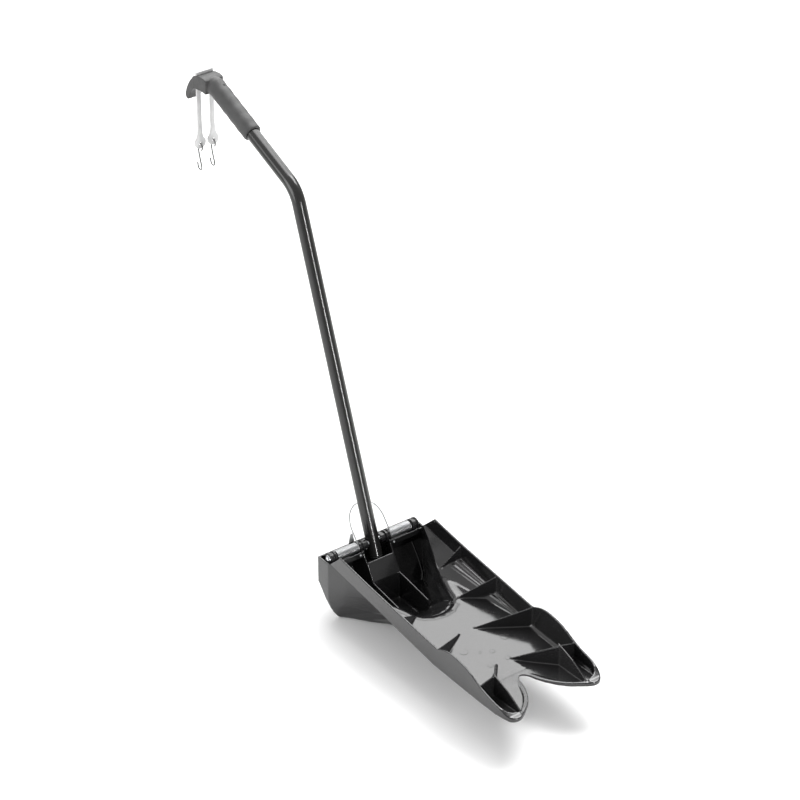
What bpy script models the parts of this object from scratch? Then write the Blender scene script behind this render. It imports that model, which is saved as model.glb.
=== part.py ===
"""Forked scoop with a sprung handle.

A moulded two-pronged scoop with a deep rear bucket. A bent tube handle turns on a cross axle at the
bucket's back edge, against a double torsion spring. The grip carries a rubber strap with two wire hooks.

Metres, +Z up. The prongs point along -Y. The origin is the centre of the bucket's flat underside.
"""
import math

import bmesh
import bpy
from mathutils import Matrix, Vector

NAME = "forked_scoop"
GAP = 0.0003  # clearance between pieces that touch on the real object

# Scoop moulding
HALF_WIDTH = 0.104
WALL = 0.0035
RIB_THICKNESS = 0.0026
SINK = 0.0017  # how far a rib's foot runs into the wall it stands on
WALL_MIDDLE_X = HALF_WIDTH - 0.0016
AXLE_Y = 0.070
AXLE_Z = 0.111
REAR_Y = 0.091  # outer face of the rear wall
FLOOR_Z = 0.073  # top of the pan floor where the bucket mouth meets it
CREASE_Y = -0.245
RISE_Y = -0.330  # the floor rises ahead of this, out to the prongs' tips
BUCKET_BASE_REAR_Y = 0.046
BUCKET_BASE_NOSE_Y = -0.042
MOUTH_NOSE_Y = -0.138  # outer face of the bucket's nose at floor level
POCKET_RIB_X = 0.029
SADDLE_X = 0.089  # saddle under an outer bush
TROUGH_Y = 0.0558  # front face of the trough that the springs lie in
TINE_RIB_X = 0.070
SCREW_X = 0.0365
SCREW_Z = 0.1015

# Side view of the moulding's upper edge, from the rear wall to the tips
RIM = [(0.100, 0.109), (0.0575, 0.109), (0.023, 0.142), (-0.056, 0.1315), (-0.157, 0.1215),
       (-0.256, 0.112), (-0.272, 0.119), (-0.288, 0.1235), (-0.312, 0.1235), (-0.332, 0.121),
       (-0.348, 0.115), (-0.375, 0.103), (-0.405, 0.096), (-0.428, 0.090), (-0.445, 0.081),
       (-0.470, 0.077)]

# Plan view of one prong, from the straight side round the tip to the notch on the centre line
PRONG = [(0.1047, -0.396), (0.1040, -0.418), (0.1020, -0.434), (0.0985, -0.4440), (0.0935, -0.4500),
         (0.0875, -0.4530), (0.0810, -0.4537), (0.0745, -0.4515), (0.0670, -0.4470), (0.0570, -0.4395),
         (0.0420, -0.4265), (0.0290, -0.4095), (0.0170, -0.3865), (0.0105, -0.3645), (0.0055, -0.3555),
         (0.0, -0.3520)]

# Plan view of the same prong's hollow, which leaves a wall at the side and a lip along the notch
PRONG_HOLLOW = [(0.1012, -0.398), (0.1000, -0.416), (0.0965, -0.428), (0.0905, -0.4355),
                (0.0830, -0.4395), (0.0735, -0.4415), (0.0630, -0.4345), (0.0470, -0.4195),
                (0.0340, -0.4015), (0.0240, -0.3805), (0.0160, -0.3620), (0.0090, -0.3690),
                (0.0, -0.3700)]
NOTCH_LIP = [(-0.340, 0.0694), (-0.362, 0.0712), (-0.3805, 0.0730), (-0.402, 0.0755),
             (-0.4205, 0.0778), (-0.437, 0.0797), (-0.500, 0.0797)]  # its top, as (y, z)

# Skewed gussets: top corner at the wall (x, y, z) and foot on the floor (x, y, z)
GUSSETS = [((WALL_MIDDLE_X, -0.056, 0.1305), (0.066, -0.035, 0.0790)),
           ((WALL_MIDDLE_X, -0.157, 0.1205), (0.044, -0.117, 0.0762)),
           ((WALL_MIDDLE_X, -0.256, 0.1113), (0.0145, -0.202, 0.0732)),
           ((TINE_RIB_X, -0.370, 0.1115), (0.015, -0.305, 0.0705))]

# Handle
TUBE_RADIUS = 0.0125
TUBE_WALL = 0.002
TUBE_SIDES = 16
TUBE_LEAN = math.radians(19.6)  # lower stretch, rearward from upright
GRIP_RISE = math.radians(22.8)  # upper stretch, above level
BEND_CORNER_RISE = 0.610  # height of the two stretches' crossing above the axle
BEND_RADIUS = 0.060
TUBE_BELOW_AXLE = 0.027
GRIP_START = 0.140  # along the upper stretch from the crossing
GRIP_LENGTH = 0.122
GRIP_RADIUS = 0.0172
TUBE_IN_GRIP = 0.118

# Axle and spring, stations along X from the middle outwards
AXLE_RADIUS = 0.004
BORE_RADIUS = AXLE_RADIUS + GAP
BUSH_HUB_RADIUS = 0.009
BUSH_FLANGE_RADIUS = 0.0115
WIRE_RADIUS = 0.0012
COIL_RADIUS = 0.0088
COIL_INNER_X = 0.0365
COIL_OUTER_X = 0.0800
COIL_TURNS = 15
BAIL_LEAN = math.radians(39.4)
BAIL_LENGTH = 0.0725

# Strap and hooks
STRAP_X = 0.0137
STRAP_Y = AXLE_Y + 0.495
STRAP_WIDTH = 0.0085
STRAP_THICKNESS = 0.004
LEG_TOP_Z = AXLE_Z + 0.6935
EYE_Z = AXLE_Z + 0.588
EYE_RADIUS = 0.010
EYE_HOLE_RADIUS = 0.0032
HOOK_WIRE_RADIUS = 0.001

BLACK = (0.010, 0.010, 0.011)
ZINC = (0.62, 0.63, 0.65)


def collection(name):
    """A new collection under the scene."""
    made = bpy.data.collections.new(name)
    bpy.context.scene.collection.children.link(made)
    return made


def clear_scene():
    for obj in list(bpy.data.objects):
        bpy.data.objects.remove(obj, do_unlink=True)


def material(name, colour, roughness, metallic):
    made = bpy.data.materials.new(name)
    made.use_nodes = True
    shader = made.node_tree.nodes["Principled BSDF"]
    shader.inputs["Base Color"].default_value = (*colour, 1.0)
    shader.inputs["Roughness"].default_value = roughness
    shader.inputs["Metallic"].default_value = metallic
    return made


clear_scene()
PARTS = collection(NAME)
CUTTERS = collection("cutters")


def add_mesh(name, bm, where=None):
    """The object made from a finished bmesh."""
    mesh = bpy.data.meshes.new(name)
    bm.to_mesh(mesh)
    bm.free()
    obj = bpy.data.objects.new(name, mesh)
    (where or PARTS).objects.link(obj)
    return obj


def finish(obj, look, smooth=True):
    """Give a sub-part its material and its shading."""
    obj.data.materials.clear()
    obj.data.materials.append(look)
    if smooth:
        obj.data.shade_smooth()
        obj.data.set_sharp_from_angle(angle=math.radians(35))
    return obj


def as_mesh(curve_obj, capped=True):
    """Swap a curve object for its welded mesh."""
    bpy.context.view_layer.update()
    evaluated = curve_obj.evaluated_get(bpy.context.evaluated_depsgraph_get())
    mesh = bpy.data.meshes.new_from_object(evaluated)
    bm = bmesh.new()
    bm.from_mesh(mesh)
    bmesh.ops.remove_doubles(bm, verts=bm.verts, dist=0.00001)
    if capped:
        bmesh.ops.recalc_face_normals(bm, faces=bm.faces)
    bm.to_mesh(mesh)
    bm.free()
    name = curve_obj.name
    where = curve_obj.users_collection[0]
    place = curve_obj.matrix_world.copy()
    bpy.data.objects.remove(curve_obj, do_unlink=True)
    obj = bpy.data.objects.new(name, mesh)
    obj.matrix_world = place
    where.objects.link(obj)
    return obj


def plate(name, outline, thickness, origin, across, up, where=None):
    """A flat plate: an outline in the plane of two directions, thickened both ways."""
    data = bpy.data.curves.new(name, "CURVE")
    data.dimensions = "2D"
    data.fill_mode = "BOTH"
    data.extrude = thickness / 2
    spline = data.splines.new("POLY")
    spline.points.add(len(outline) - 1)
    for point, (u, v) in zip(spline.points, outline):
        point.co = (u, v, 0, 1)
    spline.use_cyclic_u = True
    obj = bpy.data.objects.new(name, data)
    (where or CUTTERS).objects.link(obj)
    across = Vector(across).normalized()
    up = Vector(up).normalized()
    turn = Matrix((across, up, across.cross(up))).transposed().to_4x4()
    obj.matrix_world = Matrix.Translation(origin) @ turn
    return as_mesh(obj)


def side_plate(name, outline, x, thickness, where=None):
    """A plate whose outline is given as (y, z)."""
    return plate(name, outline, thickness, (x, 0, 0), (0, 1, 0), (0, 0, 1), where)


def wire(name, points, radius, resolution, capped=True):
    """A round wire or tube along a list of points."""
    data = bpy.data.curves.new(name, "CURVE")
    data.dimensions = "3D"
    data.bevel_depth = radius
    data.bevel_resolution = resolution
    data.use_fill_caps = capped
    spline = data.splines.new("POLY")
    spline.points.add(len(points) - 1)
    for point, place in zip(spline.points, points):
        point.co = (*place, 1)
    obj = bpy.data.objects.new(name, data)
    PARTS.objects.link(obj)
    return as_mesh(obj, capped)


def turned(name, profile, origin, axis, steps=20, ring=False, where=None):
    """A turned piece: (radius, height) points from top to bottom, with its Z axis laid along axis."""
    bm = bmesh.new()
    verts = [bm.verts.new((r, 0, h)) for r, h in profile]
    for first, second in zip(verts, verts[1:]):
        bm.edges.new((first, second))
    if ring:
        bm.edges.new((verts[-1], verts[0]))
    obj = add_mesh(name, bm, where)
    screw = obj.modifiers.new("turn", "SCREW")
    screw.steps = steps
    screw.render_steps = steps
    screw.use_merge_vertices = True
    screw.merge_threshold = 0.00001
    turn = Vector((0, 0, 1)).rotation_difference(Vector(axis).normalized())
    obj.matrix_world = Matrix.Translation(origin) @ turn.to_matrix().to_4x4()
    return obj


def drill(name, start, axis, radius, length, steps):
    """A round cutter from a start point along an axis."""
    profile = [(0, length), (radius, length), (radius, 0), (0, 0)]
    return apply_modifiers(turned(name, profile, start, axis, steps, where=CUTTERS))


def apply_modifiers(obj):
    """Make an object's modifiers part of its mesh."""
    bpy.context.view_layer.update()
    evaluated = obj.evaluated_get(bpy.context.evaluated_depsgraph_get())
    mesh = bpy.data.meshes.new_from_object(evaluated)
    obj.modifiers.clear()
    obj.data = mesh
    return obj


def boolean(obj, tool, operation):
    """Cut, keep or join with another mesh, then put the tool away."""
    modifier = obj.modifiers.new(operation.lower(), "BOOLEAN")
    modifier.operation = operation
    modifier.solver = "EXACT"
    modifier.object = tool
    apply_modifiers(obj)
    bpy.data.objects.remove(tool, do_unlink=True)
    return obj


def mirrored(half):
    """The whole outline of a half that runs from the right-hand side to the centre line."""
    left = [(-x, y) for x, y in reversed(half) if x > 0]
    return half + left


def loft(name, rings):
    """A closed solid through rings of equal point counts."""
    bm = bmesh.new()
    rows = [[bm.verts.new(p) for p in ring] for ring in rings]
    count = len(rows[0])
    for low, high in zip(rows, rows[1:]):
        for i in range(count):
            j = (i + 1) % count
            bm.faces.new((low[i], low[j], high[j], high[i]))
    bm.faces.new(rows[0][::-1])
    bm.faces.new(rows[-1])
    bmesh.ops.recalc_face_normals(bm, faces=bm.faces)
    bmesh.ops.triangulate(bm, faces=bm.faces)  # a warped quad would cut differently each time
    return add_mesh(name, bm, CUTTERS)


# ---------------------------------------------------------------- scoop moulding

def strip_edge_z(y):
    """Lower edge of the upright side strip, outside, which falls towards the prongs."""
    return max(0.108 - 0.1331 * (0.008 - y), 0.073)


def floor_z(y):
    """Top of the pan floor: it falls towards the prongs, more steeply ahead of a crease, then rises."""
    if y > CREASE_Y:
        return FLOOR_Z + 0.036 * (y + 0.202)
    crease_z = FLOOR_Z + 0.036 * (CREASE_Y + 0.202)
    if y > RISE_Y:
        return crease_z + 0.028 * (y - CREASE_Y)
    return crease_z + 0.028 * (RISE_Y - CREASE_Y) - 0.052 * (y - RISE_Y)


def ramp_foot_x(y):
    """Where the sloping ledge under the side strip meets the floor."""
    return min(HALF_WIDTH - 0.193 * (y + 0.255), HALF_WIDTH - 0.007)


def pan_block(name, inset, top, rear_y):
    """The pan as a solid: upright strips, sloping ledges and floor, moved inwards by inset."""
    rings = []
    for y in (rear_y, 0.060, -0.035, -0.120, -0.219, CREASE_Y, RISE_Y, -0.480):
        strip_x = HALF_WIDTH - inset
        strip_z = strip_edge_z(y) + 0.57 * inset
        foot_x = ramp_foot_x(y) - 0.4 * inset
        low_z = floor_z(y) - WALL + inset
        right = [(strip_x, top), (strip_x, strip_z), (foot_x, low_z)]
        ring = right + [(-x, z) for x, z in reversed(right)]
        rings.append([(x, y, z) for x, z in ring])
    return loft(name, rings)


def bucket_half(sink, inset):
    """Half of the bucket's D-shaped section; sink runs from 0 at floor level to 1 at the base."""
    slant = max(0.0, (sink - 0.233) / 0.767)
    rear_y = REAR_Y + (BUCKET_BASE_REAR_Y - REAR_Y) * slant - inset
    side_x = HALF_WIDTH - 0.001 * slant - 0.008 * max(0.0, (sink - 0.82) / 0.18) - inset
    crease_y = min(0.060, rear_y - 0.001)
    flare = Vector((0.068, -0.035)).lerp(Vector((0.059, -0.001)), sink)
    waist = Vector((0.047, -0.096)).lerp(Vector((0.036, -0.026)), sink)
    nose_y = MOUTH_NOSE_Y + (BUCKET_BASE_NOSE_Y - MOUTH_NOSE_Y) * sink + 1.25 * inset
    middle = Vector((side_x - 0.012, (crease_y + flare.y) / 2 + 0.010))
    half = [(side_x, rear_y), (side_x, crease_y), (middle.x, middle.y), (flare.x - inset, flare.y),
            (waist.x - inset, waist.y)]
    reach = waist.y - nose_y
    for step in range(1, 5):
        angle = math.radians(22.5 * step)
        half.append(((waist.x - inset) * math.cos(angle), waist.y - reach * math.sin(angle)))
    half[-1] = (0.0, nose_y)
    return half


def bucket_block(name, inset, top):
    """The bucket as a tapering solid from a flat base up past the floor."""
    depth = FLOOR_Z
    rings = []
    for z in (0.0, 0.008, 0.031, 0.056, FLOOR_Z, top):
        sink = min(1.0, max(0.0, 1.0 - z / depth))
        level = z + inset if z < FLOOR_Z else z
        rings.append([(x, y, level) for x, y in mirrored(bucket_half(sink, inset))])
    return loft(name, rings)


def plan_outline(prong):
    """Whole plan outline from one prong's points, clear of the straight sides and the rear wall."""
    clear_x = HALF_WIDTH + 0.016
    half = [(clear_x, REAR_Y + 0.010), (clear_x, PRONG[0][1] + 0.018)] + prong
    return mirrored(half)


def upright_block(name, outline, low, high):
    """A plan outline extended upright between two heights."""
    middle = (low + high) / 2
    return plate(name, outline, high - low, (0, 0, middle), (1, 0, 0), (0, 1, 0))


def gusset(name, top, foot):
    """A skewed triangular web from the right-hand wall down to the floor."""
    top_x, top_y, top_z = top
    foot_x, foot_y, foot_z = foot
    reach = math.hypot(top_x - foot_x, top_y - foot_y)
    kink = (ramp_foot_x(foot_y) - foot_x) / (top_x - foot_x)
    outline = [(0, foot_z + 0.0004), (reach, top_z), (reach, strip_edge_z(top_y) - 0.0002)]
    if 0.05 < kink < 0.95:
        outline.append((reach * kink, floor_z(foot_y) - SINK))
    outline.append((0, foot_z - 2 * SINK))
    along = (top_x - foot_x, top_y - foot_y, 0)
    return plate(name, outline, RIB_THICKNESS, (foot_x, foot_y, 0), along, (0, 0, 1))


def tine_ribs():
    """The lengthwise rib on the right-hand prong and the short web that ties it to the wall."""
    start, end = -0.3655, -0.4435
    spine = [(start, 0.1135), (-0.405, 0.1010), (-0.425, 0.0905), (end, 0.0800),
             (end, floor_z(end) - SINK), (start, floor_z(start) - SINK)]
    rib = side_plate("tine_rib", spine, TINE_RIB_X, RIB_THICKNESS)
    tie_y = -0.369
    low = floor_z(tie_y) - SINK
    reach = WALL_MIDDLE_X - TINE_RIB_X + 0.0015
    tie = [(0, low), (0, 0.1118), (reach, 0.1020), (reach, low + 0.009), (reach - 0.006, low)]
    web = plate("tine_web", tie, RIB_THICKNESS, (TINE_RIB_X - 0.0015, tie_y, 0), (1, 0, 0), (0, 0, 1))
    return [rib, web]


def pocket_plates():
    """The pocket for the tube's lower end, and the trough and saddles under the springs."""
    deep = 0.120
    side = [(deep, 0.1082), (0.057, 0.1082), (0.055, 0.102), (0.028, 0.056), (-0.0560, 0.0435),
            (-0.0600, 0.0350), (-0.0600, -0.020), (deep, -0.020)]
    plates = [side_plate("pocket_rib", side, POCKET_RIB_X, 0.003)]
    front = [(0.0462, 0.088), (0.0275, 0.0560), (0.0250, -0.020), (0.0285, -0.020),
             (0.0308, 0.0552), (0.0492, 0.0865)]
    plates.append(side_plate("pocket_front", front, 0, 2 * POCKET_RIB_X))
    stop = [(0.0755, 0.0855), (deep, 0.0855), (deep, 0.070), (0.0755, 0.076)]
    plates.append(side_plate("tube_stop", stop, 0, 0.008))
    trough = [(TROUGH_Y, 0.107), (TROUGH_Y + 0.0028, 0.107), (TROUGH_Y + 0.0032, 0.0978),
              (deep, 0.0978), (deep, 0.0952), (TROUGH_Y, 0.0952)]
    inner_x = POCKET_RIB_X
    plates.append(side_plate("trough", trough, (inner_x + 0.110) / 2, 0.110 - inner_x))
    saddle = [(deep, 0.108), (TROUGH_Y + 0.001, 0.108), (TROUGH_Y + 0.001, 0.0960), (deep, 0.0960)]
    plates.append(side_plate("saddle", saddle, SADDLE_X, RIB_THICKNESS))
    for made in plates:
        boolean(made, bucket_block("bucket_core", SINK, 0.150), "INTERSECT")
    return plates


def build_scoop(look):
    """The whole moulding: outer block less its hollow, plus the webs kept inside the outer block."""
    outer = pan_block("scoop_body", 0.0, 0.180, REAR_Y)
    boolean(outer, bucket_block("bucket_outer", 0.0, 0.150), "UNION")
    boolean(outer, upright_block("plan", plan_outline(PRONG), -0.050, 0.250), "INTERSECT")
    sky = RIM + [(-0.500, 0.077), (-0.500, 0.300), (0.120, 0.300), (0.120, 0.109)]
    boolean(outer, side_plate("sky", sky, 0, 0.300), "DIFFERENCE")

    hollow = pan_block("pan_inner", WALL, 0.200, REAR_Y - WALL)
    boolean(hollow, upright_block("inner_plan", plan_outline(PRONG_HOLLOW), -0.050, 0.250),
            "INTERSECT")
    boolean(outer, hollow, "DIFFERENCE")
    boolean(outer, bucket_block("bucket_inner", WALL, 0.190), "DIFFERENCE")

    above_lip = NOTCH_LIP + [(-0.500, 0.300), (-0.340, 0.300)]
    boolean(outer, side_plate("above_lip", above_lip, 0, 2 * TINE_RIB_X + 0.006), "DIFFERENCE")

    webs = pocket_plates()
    webs += [gusset(f"gusset_{i}", top, foot) for i, (top, foot) in enumerate(GUSSETS)]
    webs += tine_ribs()
    for web in webs:
        boolean(outer, web, "UNION")
    for saddle_x in (SADDLE_X, POCKET_RIB_X):
        boolean(outer, drill("cradle", (saddle_x - 0.004, AXLE_Y, AXLE_Z), (1, 0, 0),
                             BUSH_HUB_RADIUS + GAP, 0.008, 32), "DIFFERENCE")
    boolean(outer, drill("screw_hole", (SCREW_X, TROUGH_Y - 0.005, SCREW_Z), (0, 1, 0), 0.0014,
                         0.0070, 12), "DIFFERENCE")
    mirror = outer.modifiers.new("both_sides", "MIRROR")
    mirror.use_bisect_axis[0] = True
    mirror.bisect_threshold = 0.000001
    mirror.merge_threshold = 0.00001
    apply_modifiers(outer)
    CUTTERS.objects.unlink(outer)
    PARTS.objects.link(outer)
    return finish(outer, look, smooth=False)


# ---------------------------------------------------------------- handle

AXLE_POINT = Vector((0, AXLE_Y, AXLE_Z))
LOWER_DIR = Vector((0, math.sin(TUBE_LEAN), math.cos(TUBE_LEAN)))
UPPER_DIR = Vector((0, math.cos(GRIP_RISE), math.sin(GRIP_RISE)))
UPPER_NORMAL = Vector((0, -math.sin(GRIP_RISE), math.cos(GRIP_RISE)))
BEND_CORNER = AXLE_POINT + LOWER_DIR * (BEND_CORNER_RISE / math.cos(TUBE_LEAN))


def grip_point(along):
    """A point on the grip's axis, measured from its lower end."""
    return BEND_CORNER + UPPER_DIR * (GRIP_START + along)


def tube_path():
    """Centre line of the handle: a straight, a bend of constant radius and another straight."""
    turn = LOWER_DIR.angle(UPPER_DIR)
    tangent = BEND_RADIUS * math.tan(turn / 2)
    start = BEND_CORNER - LOWER_DIR * tangent
    inward = (UPPER_DIR - LOWER_DIR * UPPER_DIR.dot(LOWER_DIR)).normalized()
    centre = start + inward * BEND_RADIUS
    points = [AXLE_POINT - LOWER_DIR * TUBE_BELOW_AXLE]
    steps = 8
    for step in range(steps + 1):
        angle = turn * step / steps
        points.append(centre - inward * BEND_RADIUS * math.cos(angle)
                      + LOWER_DIR * BEND_RADIUS * math.sin(angle))
    points.append(grip_point(TUBE_IN_GRIP))
    return points


def build_tube(look):
    """Hollow bent tube, drilled across for the axle sleeve."""
    tube = wire("handle_tube", tube_path(), TUBE_RADIUS, TUBE_SIDES // 2 - 2, capped=False)
    skin = tube.modifiers.new("wall", "SOLIDIFY")
    skin.thickness = TUBE_WALL
    skin.offset = -1
    apply_modifiers(tube)
    if sum_volume(tube) < 0:
        flip(tube)
    start = AXLE_POINT - Vector((0.030, 0, 0))
    boolean(tube, drill("tube_drill", start, (1, 0, 0), 0.0063, 0.060, 20), "DIFFERENCE")
    return finish(tube, look)


def sum_volume(obj):
    """Signed volume of a mesh; negative where its faces point inwards."""
    bm = bmesh.new()
    bm.from_mesh(obj.data)
    volume = bm.calc_volume(signed=True)
    bm.free()
    return volume


def flip(obj):
    bm = bmesh.new()
    bm.from_mesh(obj.data)
    bmesh.ops.reverse_faces(bm, faces=bm.faces)
    bm.to_mesh(obj.data)
    bm.free()


def build_tube_fittings(plastic, steel):
    """The plug in the tube's lower end and the sleeve that the tube turns on."""
    inner = (TUBE_RADIUS - TUBE_WALL) * math.cos(math.pi / TUBE_SIDES) - GAP
    profile = [(0, 0.010), (inner - 0.0006, 0.010), (inner, 0.0092), (inner, -GAP),
               (TUBE_RADIUS - 0.0004, -GAP), (TUBE_RADIUS - 0.0004, -0.0012),
               (TUBE_RADIUS - 0.0012, -0.0020), (0, -0.0020)]
    plug = turned("tube_plug", profile, AXLE_POINT - LOWER_DIR * TUBE_BELOW_AXLE, LOWER_DIR)
    finish(plug, plastic)
    sleeve = [(0.006, 0.0142), (0.006, -0.0142), (BORE_RADIUS, -0.0142), (BORE_RADIUS, 0.0142)]
    finish(turned("tube_collar", sleeve, AXLE_POINT, (1, 0, 0), ring=True), steel)


# Side view of the grip's head, as distances behind and above the axle
HEAD = [(0.4630, 0.7235), (0.4700, 0.7255), (0.4860, 0.7245), (0.5030, 0.7185), (0.5185, 0.7065),
        (0.5310, 0.6900), (0.5385, 0.6730), (0.5385, 0.6640), (0.5330, 0.6605), (0.5275, 0.6640),
        (0.5210, 0.6790), (0.5090, 0.6910), (0.4900, 0.6970), (0.4700, 0.6975), (0.4630, 0.6970)]


def build_grip(look):
    """Round grip with a squared head, a hooked nose, a blind bore and two strap slots."""
    start = grip_point(0)
    inside_head = GRIP_LENGTH + 0.013
    profile = [(0, inside_head), (0.0100, inside_head), (0.0135, GRIP_LENGTH + 0.009),
               (GRIP_RADIUS, GRIP_LENGTH), (GRIP_RADIUS, 0.001), (GRIP_RADIUS - 0.001, 0), (0, 0)]
    grip = turned("grip", profile, start, UPPER_DIR, 28)
    apply_modifiers(grip)
    head_line = [(AXLE_Y + y, AXLE_Z + z) for y, z in HEAD]
    head = side_plate("head", head_line, 0, 0.038)
    nose_cut = [(AXLE_Y + 0.506, 0.70), (AXLE_Y + 0.60, 0.70), (AXLE_Y + 0.60, 0.90),
                (AXLE_Y + 0.506, 0.90)]
    for side in (-1, 1):
        taper = side_plate("taper", nose_cut, side * 0.0225, 0.019)
        boolean(head, taper, "DIFFERENCE")
    boolean(grip, head, "UNION")
    bore = drill("bore", grip_point(-0.010), UPPER_DIR, TUBE_RADIUS + GAP, TUBE_IN_GRIP + 0.010 + GAP,
                 28)
    boolean(grip, bore, "DIFFERENCE")
    slot = [(STRAP_Y - STRAP_THICKNESS / 2 - GAP, AXLE_Z + 0.680),
            (STRAP_Y + STRAP_THICKNESS / 2 + GAP, AXLE_Z + 0.680),
            (STRAP_Y + STRAP_THICKNESS / 2 + GAP, AXLE_Z + 0.740),
            (STRAP_Y - STRAP_THICKNESS / 2 - GAP, AXLE_Z + 0.740)]
    for side in (-1, 1):
        cut = side_plate("slot", slot, side * STRAP_X, STRAP_WIDTH + 2 * GAP)
        boolean(grip, cut, "DIFFERENCE")
    point, out = grip_screw_place()
    boolean(grip, drill("screw_hole", point - out * 0.005, out, 0.0024, 0.015, 14), "DIFFERENCE")
    return finish(grip, look)


def grip_screw_place():
    """Point on the grip's surface and outward direction of its locking screw."""
    turn = math.radians(14)
    out = (UPPER_NORMAL * math.cos(turn) + Vector((math.sin(turn), 0, 0))).normalized()
    return grip_point(0.106) + out * GRIP_RADIUS, out


def build_grip_screw(look):
    point, out = grip_screw_place()
    profile = [(0, -0.0008), (0.0014, -0.0010), (0.0020, -0.0018), (0.0020, -0.0032), (0, -0.0032)]
    finish(turned("grip_screw", profile, point, out, 14), look)


# ---------------------------------------------------------------- axle, bushes and spring

def build_axle(steel, plastic):
    """The cross axle with a washer and a domed head at each end, its bushes and sleeves."""
    end = 0.0966
    rod = [(0, end), (AXLE_RADIUS - 0.0006, end), (AXLE_RADIUS, end - 0.0006),
           (AXLE_RADIUS, 0.0006 - end), (AXLE_RADIUS - 0.0006, -end), (0, -end)]
    finish(turned("axle_rod", rod, AXLE_POINT, (1, 0, 0), 16), steel)
    washer = [(0.0078, 0.0966), (0.0078, 0.0956), (BORE_RADIUS, 0.0956), (BORE_RADIUS, 0.0966)]
    head = [(0, 0.1000), (0.0025, 0.0997), (0.0045, 0.0987), (0.0056, 0.0969), (0, 0.0969)]
    flange = BUSH_FLANGE_RADIUS
    hub = BUSH_HUB_RADIUS
    outer_bush = [(flange, 0.0953), (flange, 0.0928), (hub, 0.0928), (hub, 0.0862),
                  (flange, 0.0862), (flange, 0.0832), (BORE_RADIUS, 0.0832), (BORE_RADIUS, 0.0953)]
    inner_bush = [(flange, 0.0336), (flange, 0.0308), (hub, 0.0308), (hub, 0.0272),
                  (flange, 0.0272), (flange, 0.0245), (BORE_RADIUS, 0.0245), (BORE_RADIUS, 0.0336)]
    sleeve = [(0.0085, 0.0242), (0.0085, 0.0145), (BORE_RADIUS, 0.0145), (BORE_RADIUS, 0.0242)]
    screw = [(0, 0.0026), (0.0016, 0.0023), (0.0026, 0.0014), (0.0028, GAP), (0.0011, GAP),
             (0.0011, -0.0016), (0, -0.0016)]
    for side, word in ((-1, "left"), (1, "right")):
        out = (side, 0, 0)
        finish(turned(f"axle_washer_{word}", washer, AXLE_POINT, out, ring=True), steel)
        finish(turned(f"axle_head_{word}", head, AXLE_POINT, out), steel)
        finish(turned(f"outer_bush_{word}", outer_bush, AXLE_POINT, out, 24, ring=True), plastic)
        finish(turned(f"inner_bush_{word}", inner_bush, AXLE_POINT, out, 24, ring=True), plastic)
        finish(turned(f"sleeve_{word}", sleeve, AXLE_POINT, out, ring=True), plastic)
        place = (side * SCREW_X, TROUGH_Y, SCREW_Z)
        finish(turned(f"bush_screw_{word}", screw, place, (0, -1, 0), 12), steel)


def coil_point(x, angle):
    """A point on the coil's centre line; angle 0 is straight ahead and turns upwards."""
    return Vector((x, AXLE_Y - COIL_RADIUS * math.cos(angle), AXLE_Z + COIL_RADIUS * math.sin(angle)))


def spring_half():
    """Centre line of the right half, from the bail's top round the coil to its outer leg."""
    rise = Vector((0, math.sin(BAIL_LEAN), math.cos(BAIL_LEAN)))
    root = coil_point(COIL_INNER_X - 0.0014, BAIL_LEAN)
    points = []
    for step in range(8):
        angle = math.radians(90 - 90 * step / 8)
        points.append(root + rise * (BAIL_LENGTH * (0.5 + 0.5 * math.sin(angle)))
                      - Vector((root.x * (1 - math.cos(angle)), 0, 0)))
    points.append(root + rise * BAIL_LENGTH * 0.25)
    sides = 8
    total = COIL_TURNS * sides + 4
    for step in range(total + 1):
        share = step / total
        x = root.x + (COIL_OUTER_X - root.x) * share
        points.append(coil_point(x, BAIL_LEAN - 2 * math.pi * step / sides))
    last = points[-1]
    away = (points[-1] - points[-2]).normalized()
    away.x = 0
    points.append(last + away * 0.010)
    return points


def build_spring(look):
    """Double torsion spring: two coils joined by a bail that bears on the back of the tube."""
    half = spring_half()
    left = [Vector((-p.x, p.y, p.z)) for p in half[:0:-1]]
    spring = wire("torsion_spring", left + half, WIRE_RADIUS, 1)
    return finish(spring, look)


def build_keeper(look):
    """Tapering sheet tab on the rear wall, behind the left coil."""
    outline = [(-0.0360, AXLE_Z - 0.020), (-0.0245, AXLE_Z - 0.020), (-0.0245, AXLE_Z),
               (-0.0280, AXLE_Z + 0.0155), (-0.0325, AXLE_Z + 0.0155), (-0.0360, AXLE_Z)]
    tab = plate("spring_keeper", outline, 0.0015, (0, REAR_Y + GAP + 0.00075, 0), (1, 0, 0),
                (0, 0, 1), PARTS)
    return finish(tab, look, smooth=False)


# ---------------------------------------------------------------- strap and hooks

def build_strap_bar(look):
    """Staple-shaped top of the strap: a bar on the grip's head and a stub down each slot."""
    top = AXLE_Z + 0.7285
    seat = AXLE_Z + 0.7250
    outer = STRAP_X + STRAP_WIDTH / 2
    inner = STRAP_X - STRAP_WIDTH / 2
    low = LEG_TOP_Z + GAP
    outline = [(-outer, low), (-inner, low), (-inner, seat), (inner, seat), (inner, low),
               (outer, low), (outer, top - 0.0015), (outer - 0.0015, top), (0.0015 - outer, top),
               (-outer, top - 0.0015)]
    bar = plate("strap_bar", outline, STRAP_THICKNESS, (0, STRAP_Y, 0), (1, 0, 0), (0, 0, 1), PARTS)
    return finish(bar, look, smooth=False)


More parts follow.
